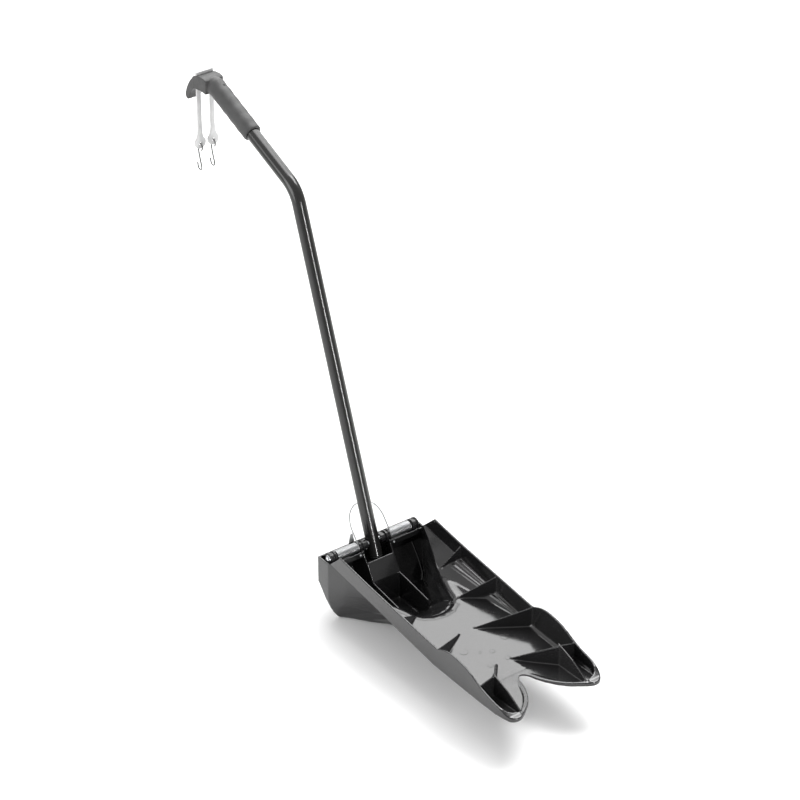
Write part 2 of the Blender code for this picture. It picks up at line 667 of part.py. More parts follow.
def leg_side_view():
    """Side outline that rounds the leg's upper end about its bending line and leaves the rest as it is."""
    radius = STRAP_THICKNESS / 2
    clear = STRAP_THICKNESS
    low = EYE_Z - 2 * EYE_RADIUS
    outline = [(STRAP_Y + clear, low), (STRAP_Y + clear, LEG_TOP_Z - 2 * clear),
               (STRAP_Y + radius, LEG_TOP_Z - radius)]
    for step in range(1, 8):
        angle = math.radians(22.5 * step)
        outline.append((STRAP_Y + radius * math.cos(angle), LEG_TOP_Z - radius + radius * math.sin(angle)))
    outline += [(STRAP_Y - radius, LEG_TOP_Z - radius), (STRAP_Y - clear, LEG_TOP_Z - 2 * clear),
                (STRAP_Y - clear, low)]
    return outline


def build_strap_leg(word, side, look):
    """A flat rubber leg that widens to a round eye."""
    half = STRAP_WIDTH / 2
    outline = [(half, LEG_TOP_Z), (half, EYE_Z + 0.018)]
    for step in range(9):
        angle = math.radians(40 - 32.5 * step)
        outline.append((EYE_RADIUS * math.cos(angle), EYE_Z + EYE_RADIUS * math.sin(angle)))
    outline += [(-half, EYE_Z + 0.018), (-half, LEG_TOP_Z)]
    leg = plate(f"strap_leg_{word}", outline, STRAP_THICKNESS, (side * STRAP_X, STRAP_Y, 0), (1, 0, 0),
                (0, 0, 1), PARTS)
    boolean(leg, side_plate("leg_top", leg_side_view(), side * STRAP_X, 4 * EYE_RADIUS), "INTERSECT")
    start = (side * STRAP_X, STRAP_Y - STRAP_THICKNESS, EYE_Z)
    boolean(leg, drill("eye", start, (0, 1, 0), EYE_HOLE_RADIUS, 2 * STRAP_THICKNESS, 16), "DIFFERENCE")
    return finish(leg, look, smooth=False)


HOOK_PIVOT = (STRAP_Y, EYE_Z - (EYE_RADIUS + EYE_HOLE_RADIUS) / 2)


def build_hook(word, side, look):
    """Wire S-hook: a closed-up loop through the eye, a straight shank and an open lower hook."""
    y, z = HOOK_PIVOT
    loop_radius = 0.0068
    points = []
    for step in range(13):
        angle = math.radians(250 - 235 * step / 12)
        points.append((y + loop_radius * math.cos(angle), z + loop_radius * math.sin(angle)))
    points.append((y + 0.0066, z - 0.006))
    points.append((y + 0.0035, z - 0.020))
    foot_y, foot_z = y + 0.0035, z - 0.0405
    foot_radius = 0.0062
    for step in range(8):
        angle = math.radians(190 + 170 * step / 7)
        points.append((foot_y + foot_radius * math.cos(angle), foot_z + foot_radius * math.sin(angle)))
    points.append((foot_y + foot_radius + 0.0008, foot_z + 0.005))
    hook = wire(f"s_hook_{word}", [(side * STRAP_X, py, pz) for py, pz in points],
                HOOK_WIRE_RADIUS, 1)
    return finish(hook, look)


def build():
    """Every sub-part with its own look."""
    build_scoop(material("black_moulding", BLACK, 0.28, 0.0))
    build_tube(material("dark_tube", (0.05, 0.05, 0.048), 0.32, 0.7))
    build_tube_fittings(material("plug_plastic", BLACK, 0.5, 0.0), material("collar_steel", ZINC, 0.3, 1.0))
    build_grip(material("grip_plastic", (0.09, 0.09, 0.09), 0.6, 0.0))
    build_grip_screw(material("dark_screw", (0.02, 0.02, 0.02), 0.4, 0.8))
    build_axle(material("zinc_steel", ZINC, 0.28, 1.0), material("bush_plastic", BLACK, 0.45, 0.0))
    build_spring(material("spring_steel", ZINC, 0.25, 1.0))
    build_keeper(material("keeper_sheet", (0.35, 0.36, 0.37), 0.4, 0.8))
    rubber = (0.62, 0.62, 0.62)
    build_strap_bar(material("strap_rubber", rubber, 0.55, 0.0))
    for word, side in (("left", -1), ("right", 1)):
        build_strap_leg(word, side, material(f"strap_rubber_{word}", rubber, 0.55, 0.0))
        build_hook(word, side, material(f"hook_wire_{word}", ZINC, 0.3, 1.0))


build()
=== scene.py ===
"""Visual model of the forked scoop with a sprung handle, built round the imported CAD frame.

Metres, +Z up, in the CAD's own frame: the prongs point along -Y and the cross axle runs along X.
"""

import math

import bmesh
import bpy
import numpy as np
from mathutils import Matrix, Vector


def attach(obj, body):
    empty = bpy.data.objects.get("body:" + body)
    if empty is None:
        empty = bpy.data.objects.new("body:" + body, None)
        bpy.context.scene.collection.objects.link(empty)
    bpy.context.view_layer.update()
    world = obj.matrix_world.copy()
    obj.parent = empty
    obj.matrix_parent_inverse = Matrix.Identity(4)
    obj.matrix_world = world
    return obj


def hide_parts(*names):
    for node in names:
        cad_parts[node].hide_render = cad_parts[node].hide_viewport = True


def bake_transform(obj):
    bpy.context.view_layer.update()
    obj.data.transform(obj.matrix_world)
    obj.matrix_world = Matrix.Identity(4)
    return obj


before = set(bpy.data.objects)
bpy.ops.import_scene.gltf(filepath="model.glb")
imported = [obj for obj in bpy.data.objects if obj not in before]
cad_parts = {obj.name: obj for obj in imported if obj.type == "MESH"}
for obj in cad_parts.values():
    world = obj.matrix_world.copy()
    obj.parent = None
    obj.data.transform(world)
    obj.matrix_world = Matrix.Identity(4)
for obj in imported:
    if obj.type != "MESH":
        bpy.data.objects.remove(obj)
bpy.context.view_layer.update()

# ---------------------------------------------------------------- dimensions, as in the CAD

HALF_WIDTH = 0.104
WALL = 0.0035
RIB_THICKNESS = 0.0026
SINK = 0.0017
WALL_MIDDLE_X = HALF_WIDTH - 0.0016
AXLE_Y = 0.070
AXLE_Z = 0.111
REAR_Y = 0.091
FLOOR_Z = 0.073
CREASE_Y = -0.245
RISE_Y = -0.330
BUCKET_BASE_REAR_Y = 0.046
BUCKET_BASE_NOSE_Y = -0.042
MOUTH_NOSE_Y = -0.138
POCKET_RIB_X = 0.029
SADDLE_X = 0.089
TROUGH_Y = 0.0558
TINE_RIB_X = 0.070
SCREW_X = 0.0365
SCREW_Z = 0.1015

RIM = [(0.100, 0.109), (0.0575, 0.109), (0.023, 0.142), (-0.056, 0.1315), (-0.157, 0.1215),
       (-0.256, 0.112), (-0.263, 0.1155), (-0.272, 0.1195), (-0.281, 0.1225), (-0.292, 0.1242),
       (-0.304, 0.1243), (-0.318, 0.1230), (-0.332, 0.1205), (-0.348, 0.1150), (-0.362, 0.1087),
       (-0.375, 0.1035), (-0.390, 0.0992), (-0.405, 0.0960), (-0.418, 0.0930), (-0.428, 0.0895),
       (-0.437, 0.0848), (-0.445, 0.0812), (-0.470, 0.0785)]

PRONG = [(0.1047, -0.396), (0.1040, -0.418), (0.1020, -0.434), (0.0985, -0.4440), (0.0935, -0.4500),
         (0.0875, -0.4530), (0.0810, -0.4537), (0.0745, -0.4515), (0.0670, -0.4470), (0.0570, -0.4395),
         (0.0420, -0.4265), (0.0290, -0.4095), (0.0170, -0.3865), (0.0105, -0.3645), (0.0055, -0.3555),
         (0.0, -0.3520)]
PRONG_HOLLOW = [(0.1012, -0.398), (0.1000, -0.416), (0.0965, -0.428), (0.0905, -0.4355),
                (0.0830, -0.4395), (0.0735, -0.4415), (0.0630, -0.4345), (0.0470, -0.4195),
                (0.0340, -0.4015), (0.0240, -0.3805), (0.0160, -0.3620), (0.0090, -0.3690),
                (0.0, -0.3700)]
NOTCH_LIP = [(-0.340, 0.0694), (-0.362, 0.0712), (-0.3805, 0.0730), (-0.402, 0.0755),
             (-0.4205, 0.0778), (-0.437, 0.0797), (-0.500, 0.0797)]
GUSSETS = [((WALL_MIDDLE_X, -0.056, 0.1305), (0.066, -0.035, 0.0790)),
           ((WALL_MIDDLE_X, -0.157, 0.1205), (0.044, -0.117, 0.0762)),
           ((WALL_MIDDLE_X, -0.256, 0.1113), (0.0145, -0.202, 0.0732)),
           ((TINE_RIB_X, -0.370, 0.1115), (0.015, -0.305, 0.0705))]

GAP = 0.0003
TUBE_RADIUS = 0.0125
TUBE_WALL = 0.002
TUBE_LEAN = math.radians(19.6)
GRIP_RISE = math.radians(22.8)
BEND_CORNER_RISE = 0.610
BEND_RADIUS = 0.060
TUBE_BELOW_AXLE = 0.027
GRIP_START = 0.140
GRIP_LENGTH = 0.122
GRIP_RADIUS = 0.0172
TUBE_IN_GRIP = 0.118

AXLE_RADIUS = 0.004
BORE_RADIUS = AXLE_RADIUS + GAP
HUB_RADIUS = 0.009
FLANGE_RADIUS = 0.0115
WIRE_RADIUS = 0.0012
COIL_RADIUS = 0.0088
COIL_ROOT_X = 0.0351
COIL_OUTER_X = 0.0800
COIL_TURNS = 17.5
BAIL_LEAN = math.radians(39.4)
BAIL_LENGTH = 0.0725

STRAP_X = 0.0137
STRAP_Y = AXLE_Y + 0.495
STRAP_WIDTH = 0.0085
STRAP_THICKNESS = 0.004
LEG_TOP_Z = AXLE_Z + 0.6935
EYE_Z = AXLE_Z + 0.588
EYE_RADIUS = 0.010
EYE_HOLE_RADIUS = 0.0032
EYE_RIM_RADIUS = 0.0116
EYE_RIM_RISE = 0.0018
HOOK_WIRE_RADIUS = 0.0013
HOOK_LOOP_RADIUS = 0.0068
HOOK_FOOT_RADIUS = 0.0062
BEAD_HEIGHT = 0.0011
LIP_REACH = 0.021
LIP_DROP = 0.0050
HOOK_PIVOT = (STRAP_Y, EYE_Z - (EYE_RADIUS + EYE_HOLE_RADIUS) / 2)

SCOOP_VOXEL = 0.0010
GRIP_VOXEL = 0.0007
STRAP_VOXEL = 0.0005

AXLE_POINT = Vector((0, AXLE_Y, AXLE_Z))
LOWER_DIR = Vector((0, math.sin(TUBE_LEAN), math.cos(TUBE_LEAN)))
UPPER_DIR = Vector((0, math.cos(GRIP_RISE), math.sin(GRIP_RISE)))
UPPER_NORMAL = Vector((0, -math.sin(GRIP_RISE), math.cos(GRIP_RISE)))
BEND_CORNER = AXLE_POINT + LOWER_DIR * (BEND_CORNER_RISE / math.cos(TUBE_LEAN))
SIDES = (("left", -1), ("right", 1))

# ---------------------------------------------------------------- mesh helpers


def link(obj):
    """Put an object in the scene."""
    bpy.context.scene.collection.objects.link(obj)
    return obj


def mesh_object(name, verts, faces):
    """An object from points and faces."""
    mesh = bpy.data.meshes.new(name)
    mesh.from_pydata([tuple(v) for v in verts], [], faces)
    mesh.update()
    return link(bpy.data.objects.new(name, mesh))


def applied(obj):
    """Make an object's modifiers part of its mesh."""
    bpy.context.view_layer.update()
    evaluated = obj.evaluated_get(bpy.context.evaluated_depsgraph_get())
    mesh = bpy.data.meshes.new_from_object(evaluated)
    obj.modifiers.clear()
    obj.data = mesh
    return obj


def face_out(obj):
    """Merge doubled points and turn every face outwards."""
    bm = bmesh.new()
    bm.from_mesh(obj.data)
    bmesh.ops.remove_doubles(bm, verts=bm.verts, dist=0.000005)
    bmesh.ops.recalc_face_normals(bm, faces=bm.faces)
    bm.to_mesh(obj.data)
    bm.free()
    return obj


def boolean(obj, tool, operation):
    """Cut, keep or join with another mesh, then remove that one."""
    modifier = obj.modifiers.new("cut", "BOOLEAN")
    modifier.operation = operation
    modifier.solver = "EXACT"
    modifier.object = tool
    applied(obj)
    bpy.data.objects.remove(tool, do_unlink=True)
    return obj


def plate(name, outline, thickness, origin, across, up):
    """A flat plate: an outline in the plane of two directions, thickened both ways."""
    across = Vector(across).normalized()
    up = Vector(up).normalized()
    out = across.cross(up)
    count = len(outline)
    verts = []
    for side in (-0.5, 0.5):
        for u, v in outline:
            verts.append(Vector(origin) + across * u + up * v + out * (thickness * side))
    faces = [list(range(count))[::-1], list(range(count, 2 * count))]
    for i in range(count):
        j = (i + 1) % count
        faces.append([i, j, count + j, count + i])
    obj = face_out(mesh_object(name, verts, faces))
    bm = bmesh.new()
    bm.from_mesh(obj.data)
    bmesh.ops.triangulate(bm, faces=[f for f in bm.faces if len(f.verts) > 4])
    bm.to_mesh(obj.data)
    bm.free()
    return obj


def side_plate(name, outline, x, thickness):
    """A plate whose outline is a side view, centred on a distance from the middle."""
    return plate(name, outline, thickness, (x, 0, 0), (0, 1, 0), (0, 0, 1))


def loft(name, rings):
    """A closed solid through rings of equal point counts."""
    count = len(rings[0])
    verts = [p for ring in rings for p in ring]
    faces = []
    for k in range(len(rings) - 1):
        for i in range(count):
            j = (i + 1) % count
            a, b = k * count, (k + 1) * count
            faces.append([a + i, a + j, b + j])
            faces.append([a + i, b + j, b + i])
    obj = mesh_object(name, verts, faces)
    bm = bmesh.new()
    bm.from_mesh(obj.data)
    bm.verts.ensure_lookup_table()
    caps = [bm.faces.new([bm.verts[i] for i in range(count)]),
            bm.faces.new([bm.verts[(len(rings) - 1) * count + i] for i in range(count)])]
    bmesh.ops.triangulate(bm, faces=caps)
    bmesh.ops.recalc_face_normals(bm, faces=bm.faces)
    bm.to_mesh(obj.data)
    bm.free()
    return obj


def eased(profile, radius, ring):
    """A profile with its corners rounded by up to a radius."""
    made = []
    count = len(profile)
    for i, here in enumerate(profile):
        if not ring and i in (0, count - 1):
            made.append(Vector(here))
            continue
        here = Vector(here)
        before = Vector(profile[i - 1]) - here
        after = Vector(profile[(i + 1) % count]) - here
        cut = min(radius, before.length * 0.4, after.length * 0.4)
        start = here + before.normalized() * cut
        end = here + after.normalized() * cut
        for t in (0.0, 0.33, 0.67, 1.0):
            made.append(start * (1 - t) ** 2 + here * (2 * t * (1 - t)) + end * t ** 2)
    return made


def turned(name, profile, origin, axis, steps=56, ring=False, radius=0.0004):
    """A turned piece: (radius, height) points round the axis, with eased corners."""
    line = eased(profile, radius, ring)
    turn = Vector((0, 0, 1)).rotation_difference(Vector(axis).normalized()).to_matrix()
    verts = []
    for r, h in line:
        for k in range(steps):
            angle = 2 * math.pi * k / steps
            verts.append(Vector(origin) + turn @ Vector((r * math.cos(angle), r * math.sin(angle), h)))
    faces = []
    count = len(line)
    for i in range(count if ring else count - 1):
        low, high = i * steps, ((i + 1) % count) * steps
        for k in range(steps):
            m = (k + 1) % steps
            faces.append([low + k, low + m, high + m, high + k])
    return face_out(mesh_object(name, verts, faces))


def drill(name, start, axis, radius, length, steps=48):
    """A round cutter from a start point along an axis."""
    profile = [(0, length), (radius, length), (radius, 0), (0, 0)]
    return turned(name, profile, start, axis, steps, radius=0.0)


def sweep(name, path, radius, sides):
    """A round wire along a list of points, with domed ends."""
    path = [Vector(p) for p in path]
    tangents = []
    for i in range(len(path)):
        ahead = path[min(i + 1, len(path) - 1)] - path[max(i - 1, 0)]
        tangents.append(ahead.normalized())
    normal = tangents[0].orthogonal().normalized()
    first, last = path[0], path[-1]
    start, end = tangents[0], tangents[-1]
    rings = [(first - start * radius * 0.95, 0.25), (first - start * radius * 0.6, 0.8)]
    rings += [(p, 1.0) for p in path]
    rings += [(last + end * radius * 0.6, 0.8), (last + end * radius * 0.95, 0.25)]
    tangents = [start] * 2 + tangents + [end] * 2
    verts = []
    for (centre, size), tangent in zip(rings, tangents):
        normal = (normal - tangent * normal.dot(tangent)).normalized()
        other = tangent.cross(normal)
        for k in range(sides):
            angle = 2 * math.pi * k / sides
            verts.append(centre + (normal * math.cos(angle) + other * math.sin(angle)) * radius * size)
    faces = [list(range(sides))[::-1]]
    for i in range(len(rings) - 1):
        for k in range(sides):
            m = (k + 1) % sides
            faces.append([i * sides + k, i * sides + m, (i + 1) * sides + m, (i + 1) * sides + k])
    top = (len(rings) - 1) * sides
    faces.append([top + k for k in range(sides)])
    return face_out(mesh_object(name, verts, faces))


def join(shapes):
    """Put several closed shapes into the first one's mesh."""
    bm = bmesh.new()
    for shape in shapes:
        bm.from_mesh(shape.data)
    bm.to_mesh(shapes[0].data)
    bm.free()
    for shape in shapes[1:]:
        bpy.data.objects.remove(shape, do_unlink=True)
    return shapes[0]


def voxelled(obj, size):
    """One even skin over everything the mesh holds."""
    modifier = obj.modifiers.new("skin", "REMESH")
    modifier.mode = "VOXEL"
    modifier.voxel_size = size
    modifier.adaptivity = 0.0
    return applied(obj)


def softened(obj, steps, weights=None):
    """Round edges by averaging, all over or where the weights say."""
    group = ""
    if weights is not None:
        holder = obj.vertex_groups.new(name="soft")
        group = holder.name
        levels = np.round(np.clip(weights, 0, 1) * 10).astype(int)
        for level in range(1, 11):
            picked = np.nonzero(levels == level)[0].tolist()
            holder.add(picked, level / 10, "REPLACE")
    while steps > 0:
        modifier = obj.modifiers.new("soft", "SMOOTH")
        modifier.factor = 0.5
        modifier.iterations = min(steps, 30)
        modifier.vertex_group = group
        steps -= 30
    applied(obj)
    obj.vertex_groups.clear()
    return obj


def thinned(obj, ratio):
    """Keep a share of the faces."""
    modifier = obj.modifiers.new("thin", "DECIMATE")
    modifier.ratio = ratio
    return applied(obj)


def coordinates(obj):
    """All of a mesh's points as rows."""
    co = np.zeros(len(obj.data.vertices) * 3)
    obj.data.vertices.foreach_get("co", co)
    return co.reshape(-1, 3)


def distance_to(co, line):
    """Each point's distance from a line of points."""
    best = np.full(len(co), 1e9)
    for a, b in zip(line, line[1:]):
        a, b = np.array(a), np.array(b)
        along = b - a
        t = np.clip((co - a) @ along / (along @ along), 0, 1)
        best = np.minimum(best, np.linalg.norm(co - a - t[:, None] * along, axis=1))
    return best


def near(co, line, reach):
    """1 on a line of points, falling to 0 at a reach from it."""
    share = np.clip(1 - distance_to(co, line) / reach, 0, 1)
    return share * share * (3 - 2 * share)


def curve_through(points, steps):
    """Catmull-Rom points through a list."""
    made = []
    count = len(points)
    for i in range(count - 1):
        p0 = Vector(points[max(i - 1, 0)])
        p1 = Vector(points[i])
        p2 = Vector(points[i + 1])
        p3 = Vector(points[min(i + 2, count - 1)])
        for k in range(steps):
            t = k / steps
            made.append(0.5 * (2 * p1 + (p2 - p0) * t + (2 * p0 - 5 * p1 + 4 * p2 - p3) * t * t
                               + (3 * p1 - p0 - 3 * p2 + p3) * t ** 3))
    made.append(Vector(points[-1]))
    return made


# ---------------------------------------------------------------- materials

def add_node(tree, kind, **values):
    """A shader node with some of its settings."""
    made = tree.nodes.new(kind)
    for key, value in values.items():
        setattr(made, key, value)
    return made


def noise_node(tree, place, scale, detail=3.0, rough=0.55):
    """Noise over the object's own space."""
    made = add_node(tree, "ShaderNodeTexNoise")
    made.inputs["Scale"].default_value = scale
    made.inputs["Detail"].default_value = detail
    made.inputs["Roughness"].default_value = rough
    tree.links.new(place.outputs["Object"], made.inputs["Vector"])
    return made


def spread(tree, source, low, high):
    """Map a noise's middle range onto low..high."""
    made = add_node(tree, "ShaderNodeMapRange")
    made.inputs["From Min"].default_value = 0.3
    made.inputs["From Max"].default_value = 0.7
    made.inputs["To Min"].default_value = low
    made.inputs["To Max"].default_value = high
    tree.links.new(source, made.inputs["Value"])
    return made.outputs["Result"]


def look(name, dark, light, rough, metallic=0.0, tone_scale=14.0, grain=1200.0, grain_depth=0.00004,
         wave=22.0, wave_depth=0.0, specular=0.5, brushed=None):
    """A procedural material: mottled colour, uneven roughness, fine grain and slow surface waves."""
    made = bpy.data.materials.new(name)
    made.use_nodes = True
    tree = made.node_tree
    shader = tree.nodes["Principled BSDF"]
    shader.inputs["Metallic"].default_value = metallic
    shader.inputs["Specular IOR Level"].default_value = specular
    place = add_node(tree, "ShaderNodeTexCoord")
    tone = noise_node(tree, place, tone_scale, 5.0, 0.6)
    ramp = add_node(tree, "ShaderNodeValToRGB")
    ramp.color_ramp.elements[0].position = 0.32
    ramp.color_ramp.elements[0].color = (*dark, 1)
    ramp.color_ramp.elements[1].position = 0.68
    ramp.color_ramp.elements[1].color = (*light, 1)
    tree.links.new(tone.outputs["Fac"], ramp.inputs["Fac"])
    tree.links.new(ramp.outputs["Color"], shader.inputs["Base Color"])
    patches = noise_node(tree, place, tone_scale * 2.3, 4.0)
    tree.links.new(spread(tree, patches.outputs["Fac"], rough[0], rough[1]), shader.inputs["Roughness"])
    fine = noise_node(tree, place, grain, 2.0)
    if brushed is not None:
        stretch = add_node(tree, "ShaderNodeMapping")
        stretch.inputs["Scale"].default_value = brushed
        tree.links.new(place.outputs["Object"], stretch.inputs["Vector"])
        tree.links.new(stretch.outputs["Vector"], fine.inputs["Vector"])
    bump = add_node(tree, "ShaderNodeBump")
    bump.inputs["Strength"].default_value = 1.0
    bump.inputs["Distance"].default_value = grain_depth
    tree.links.new(fine.outputs["Fac"], bump.inputs["Height"])
    last = bump
    if wave_depth:
        slow = noise_node(tree, place, wave, 2.0)
        swell = add_node(tree, "ShaderNodeBump")
        swell.inputs["Strength"].default_value = 1.0
        swell.inputs["Distance"].default_value = wave_depth
        tree.links.new(slow.outputs["Fac"], swell.inputs["Height"])
        tree.links.new(bump.outputs["Normal"], swell.inputs["Normal"])
        last = swell
    tree.links.new(last.outputs["Normal"], shader.inputs["Normal"])
    return made


BLACK_PP = look("black_pp", (0.010, 0.010, 0.0105), (0.016, 0.016, 0.0165), (0.11, 0.18),
                wave=30.0, wave_depth=0.00022, grain=1500.0, grain_depth=0.000015, specular=0.75)
DARK_TUBE = look("dark_coated_tube", (0.013, 0.013, 0.0125), (0.017, 0.017, 0.0165), (0.14, 0.19),
                 metallic=0.2, tone_scale=9.0, grain=2600.0, grain_depth=0.00002, specular=0.8)
GRIP_GREY = look("grip_soft_grey", (0.040, 0.040, 0.040), (0.056, 0.056, 0.056), (0.46, 0.60),
                 tone_scale=25.0, grain=1800.0, grain_depth=0.00012)
BUSH_BLACK = look("bush_nylon", (0.008, 0.008, 0.009), (0.016, 0.016, 0.017), (0.22, 0.34),
                  tone_scale=60.0, grain=2500.0)
PLUG_BLACK = look("plug_plastic", (0.010, 0.010, 0.010), (0.020, 0.020, 0.020), (0.4, 0.55),
                  tone_scale=60.0, grain=2500.0)
ZINC = look("bright_zinc", (0.50, 0.51, 0.52), (0.66, 0.67, 0.69), (0.18, 0.28), metallic=1.0,
            tone_scale=90.0, grain=2000.0, grain_depth=0.000006)
SPRING_WIRE = look("spring_wire_zinc", (0.42, 0.425, 0.43), (0.50, 0.505, 0.51), (0.30, 0.38),
                   metallic=1.0, tone_scale=60.0, grain=2000.0, grain_depth=0.000004)
HOOK_WIRE = look("hook_wire_zinc", (0.10, 0.10, 0.10), (0.16, 0.16, 0.16), (0.25, 0.36), metallic=1.0,
                 tone_scale=120.0, grain=3000.0, grain_depth=0.00002)
KEEPER_SHEET = look("keeper_sheet_steel", (0.52, 0.53, 0.53), (0.64, 0.65, 0.65), (0.30, 0.45),
                    metallic=0.1, tone_scale=70.0, grain=500.0, grain_depth=0.000006,
                    brushed=(6.0, 6.0, 0.6))
SCREW_BLACK = look("blackened_screw", (0.02, 0.02, 0.02), (0.05, 0.05, 0.05), (0.25, 0.4),
                   metallic=0.8, tone_scale=120.0, grain=3000.0)
STRAP_RUBBER = look("pale_strap_rubber", (0.55, 0.55, 0.55), (0.68, 0.68, 0.68), (0.42, 0.58),
                    tone_scale=50.0, grain=2200.0, grain_depth=0.00008)


def settle(obj, material, slot, body, *nodes, smooth_angle=35.0):
    """Give a piece its material, shading, body and the CAD nodes that it stands for."""
    obj.data.materials.clear()
    obj.data.materials.append(material)
    obj.data.shade_smooth()
    if smooth_angle:
        obj.data.set_sharp_from_angle(angle=math.radians(smooth_angle))
    if body:
        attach(obj, body)
    if nodes:
        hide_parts(*nodes)
    return obj


# ---------------------------------------------------------------- scoop moulding

def strip_edge_z(y):
    """Height of the upright strip's lower edge."""
    return max(0.108 - 0.1331 * (0.008 - y), 0.073)


def floor_z(y):
    """Height of the pan floor."""
    if y > CREASE_Y:
        return FLOOR_Z + 0.036 * (y + 0.202)
    crease_z = FLOOR_Z + 0.036 * (CREASE_Y + 0.202)
    if y > RISE_Y:
        return crease_z + 0.028 * (y - CREASE_Y)
    return crease_z + 0.028 * (RISE_Y - CREASE_Y) - 0.052 * (y - RISE_Y)


def ramp_foot_x(y):
    """Distance from the middle to the sloping ledge's foot."""
    return min(HALF_WIDTH - 0.193 * (y + 0.255), HALF_WIDTH - 0.007)


def pan_block(name, inset, top, rear_y):
    """The pan as a solid: upright strips, sloping ledges and floor, moved inwards by inset."""
    rings = []
    for y in (rear_y, 0.060, -0.035, -0.120, -0.219, CREASE_Y, RISE_Y, -0.480):
        strip_x = HALF_WIDTH - inset
        strip_z = strip_edge_z(y) + 0.57 * inset
        foot_x = ramp_foot_x(y) - 0.4 * inset
        low_z = floor_z(y) - WALL + inset
        right = [(strip_x, top), (strip_x, strip_z), (foot_x, low_z)]
        ring = right + [(-x, z) for x, z in reversed(right)]
        rings.append([(x, y, z) for x, z in ring])
    return loft(name, rings)


def bucket_half(sink, inset):
    """Half of the bucket's D-shaped section; sink runs from 0 at floor level to 1 at the base."""
    slant = max(0.0, (sink - 0.233) / 0.767)
    rear_y = REAR_Y + (BUCKET_BASE_REAR_Y - REAR_Y) * slant - inset
    side_x = HALF_WIDTH - 0.001 * slant - 0.008 * max(0.0, (sink - 0.82) / 0.18) - inset
    crease_y = min(0.060, rear_y - 0.001)
    flare = Vector((0.068, -0.035)).lerp(Vector((0.059, -0.001)), sink)
    waist = Vector((0.047, -0.096)).lerp(Vector((0.036, -0.026)), sink)
    nose_y = MOUTH_NOSE_Y + (BUCKET_BASE_NOSE_Y - MOUTH_NOSE_Y) * sink + 1.25 * inset
    middle = Vector((side_x - 0.012, (crease_y + flare.y) / 2 + 0.010))
    half = [(side_x, rear_y), (side_x, crease_y), (middle.x, middle.y), (flare.x - inset, flare.y),
            (waist.x - inset, waist.y)]
    reach = waist.y - nose_y
    for step in range(1, 5):
        angle = math.radians(22.5 * step)
        half.append(((waist.x - inset) * math.cos(angle), waist.y - reach * math.sin(angle)))
    half[-1] = (0.0, nose_y)
    return half


def mirrored(half):
    """The whole outline of a half that runs from the right-hand side to the centre line."""
    left = [(-x, y) for x, y in reversed(half) if x > 0]
    return half + left


def bucket_block(name, inset, top):
    """The bucket as a tapering solid from a flat base up past the floor."""
    depth = FLOOR_Z
    rings = []
    for z in (0.0, 0.008, 0.031, 0.056, FLOOR_Z, top):
        sink = min(1.0, max(0.0, 1.0 - z / depth))
        level = z + inset if z < FLOOR_Z else z
        rings.append([(x, y, level) for x, y in mirrored(bucket_half(sink, inset))])
    return loft(name, rings)


def plan_outline(prong):
    """Whole plan outline with one prong's points eased into a curve."""
    clear_x = HALF_WIDTH + 0.016
    smooth = [(p.x, p.y) for p in curve_through(prong, 3)]
    half = [(clear_x, REAR_Y + 0.010), (clear_x, prong[0][1] + 0.018)] + smooth
    return half + [(-x, y) for x, y in reversed(half) if x > 0]


def upright_block(name, outline, low, high):
    """A plan outline extended upright between two heights."""
    return plate(name, outline, high - low, (0, 0, (low + high) / 2), (1, 0, 0), (0, 1, 0))


def gusset(name, top, foot):
    """A skewed triangular web from the right-hand wall down to the floor."""
    top_x, top_y, top_z = top
    foot_x, foot_y, foot_z = foot
    reach = math.hypot(top_x - foot_x, top_y - foot_y)
    outline = [(0, foot_z + 0.0004), (reach, top_z), (reach, strip_edge_z(top_y) - 0.0002)]
    kink = (ramp_foot_x(foot_y) - foot_x) / (top_x - foot_x)
    if 0.05 < kink < 0.95:
        outline.append((reach * kink, floor_z(foot_y) - SINK))
    outline.append((0, foot_z - 2 * SINK))
    along = (top_x - foot_x, top_y - foot_y, 0)
    return plate(name, outline, RIB_THICKNESS, (foot_x, foot_y, 0), along, (0, 0, 1))


def tine_ribs():
    """The rib along a prong and the web that ties it to the wall."""
    start, end = -0.3655, -0.4435
    spine = [(start, 0.1135), (-0.385, 0.1078), (-0.405, 0.1010), (-0.425, 0.0905), (end, 0.0800),
             (end, floor_z(end) - SINK), (start, floor_z(start) - SINK)]
    rib = side_plate("tine_rib", spine, TINE_RIB_X, RIB_THICKNESS)
    tie_y = -0.369
    low = floor_z(tie_y) - SINK
    reach = WALL_MIDDLE_X - TINE_RIB_X + 0.0015
    tie = [(0, low), (0, 0.1118), (reach, 0.1020), (reach, low + 0.009), (reach - 0.006, low)]
    web = plate("tine_web", tie, RIB_THICKNESS, (TINE_RIB_X - 0.0015, tie_y, 0), (1, 0, 0), (0, 0, 1))
    return [rib, web]


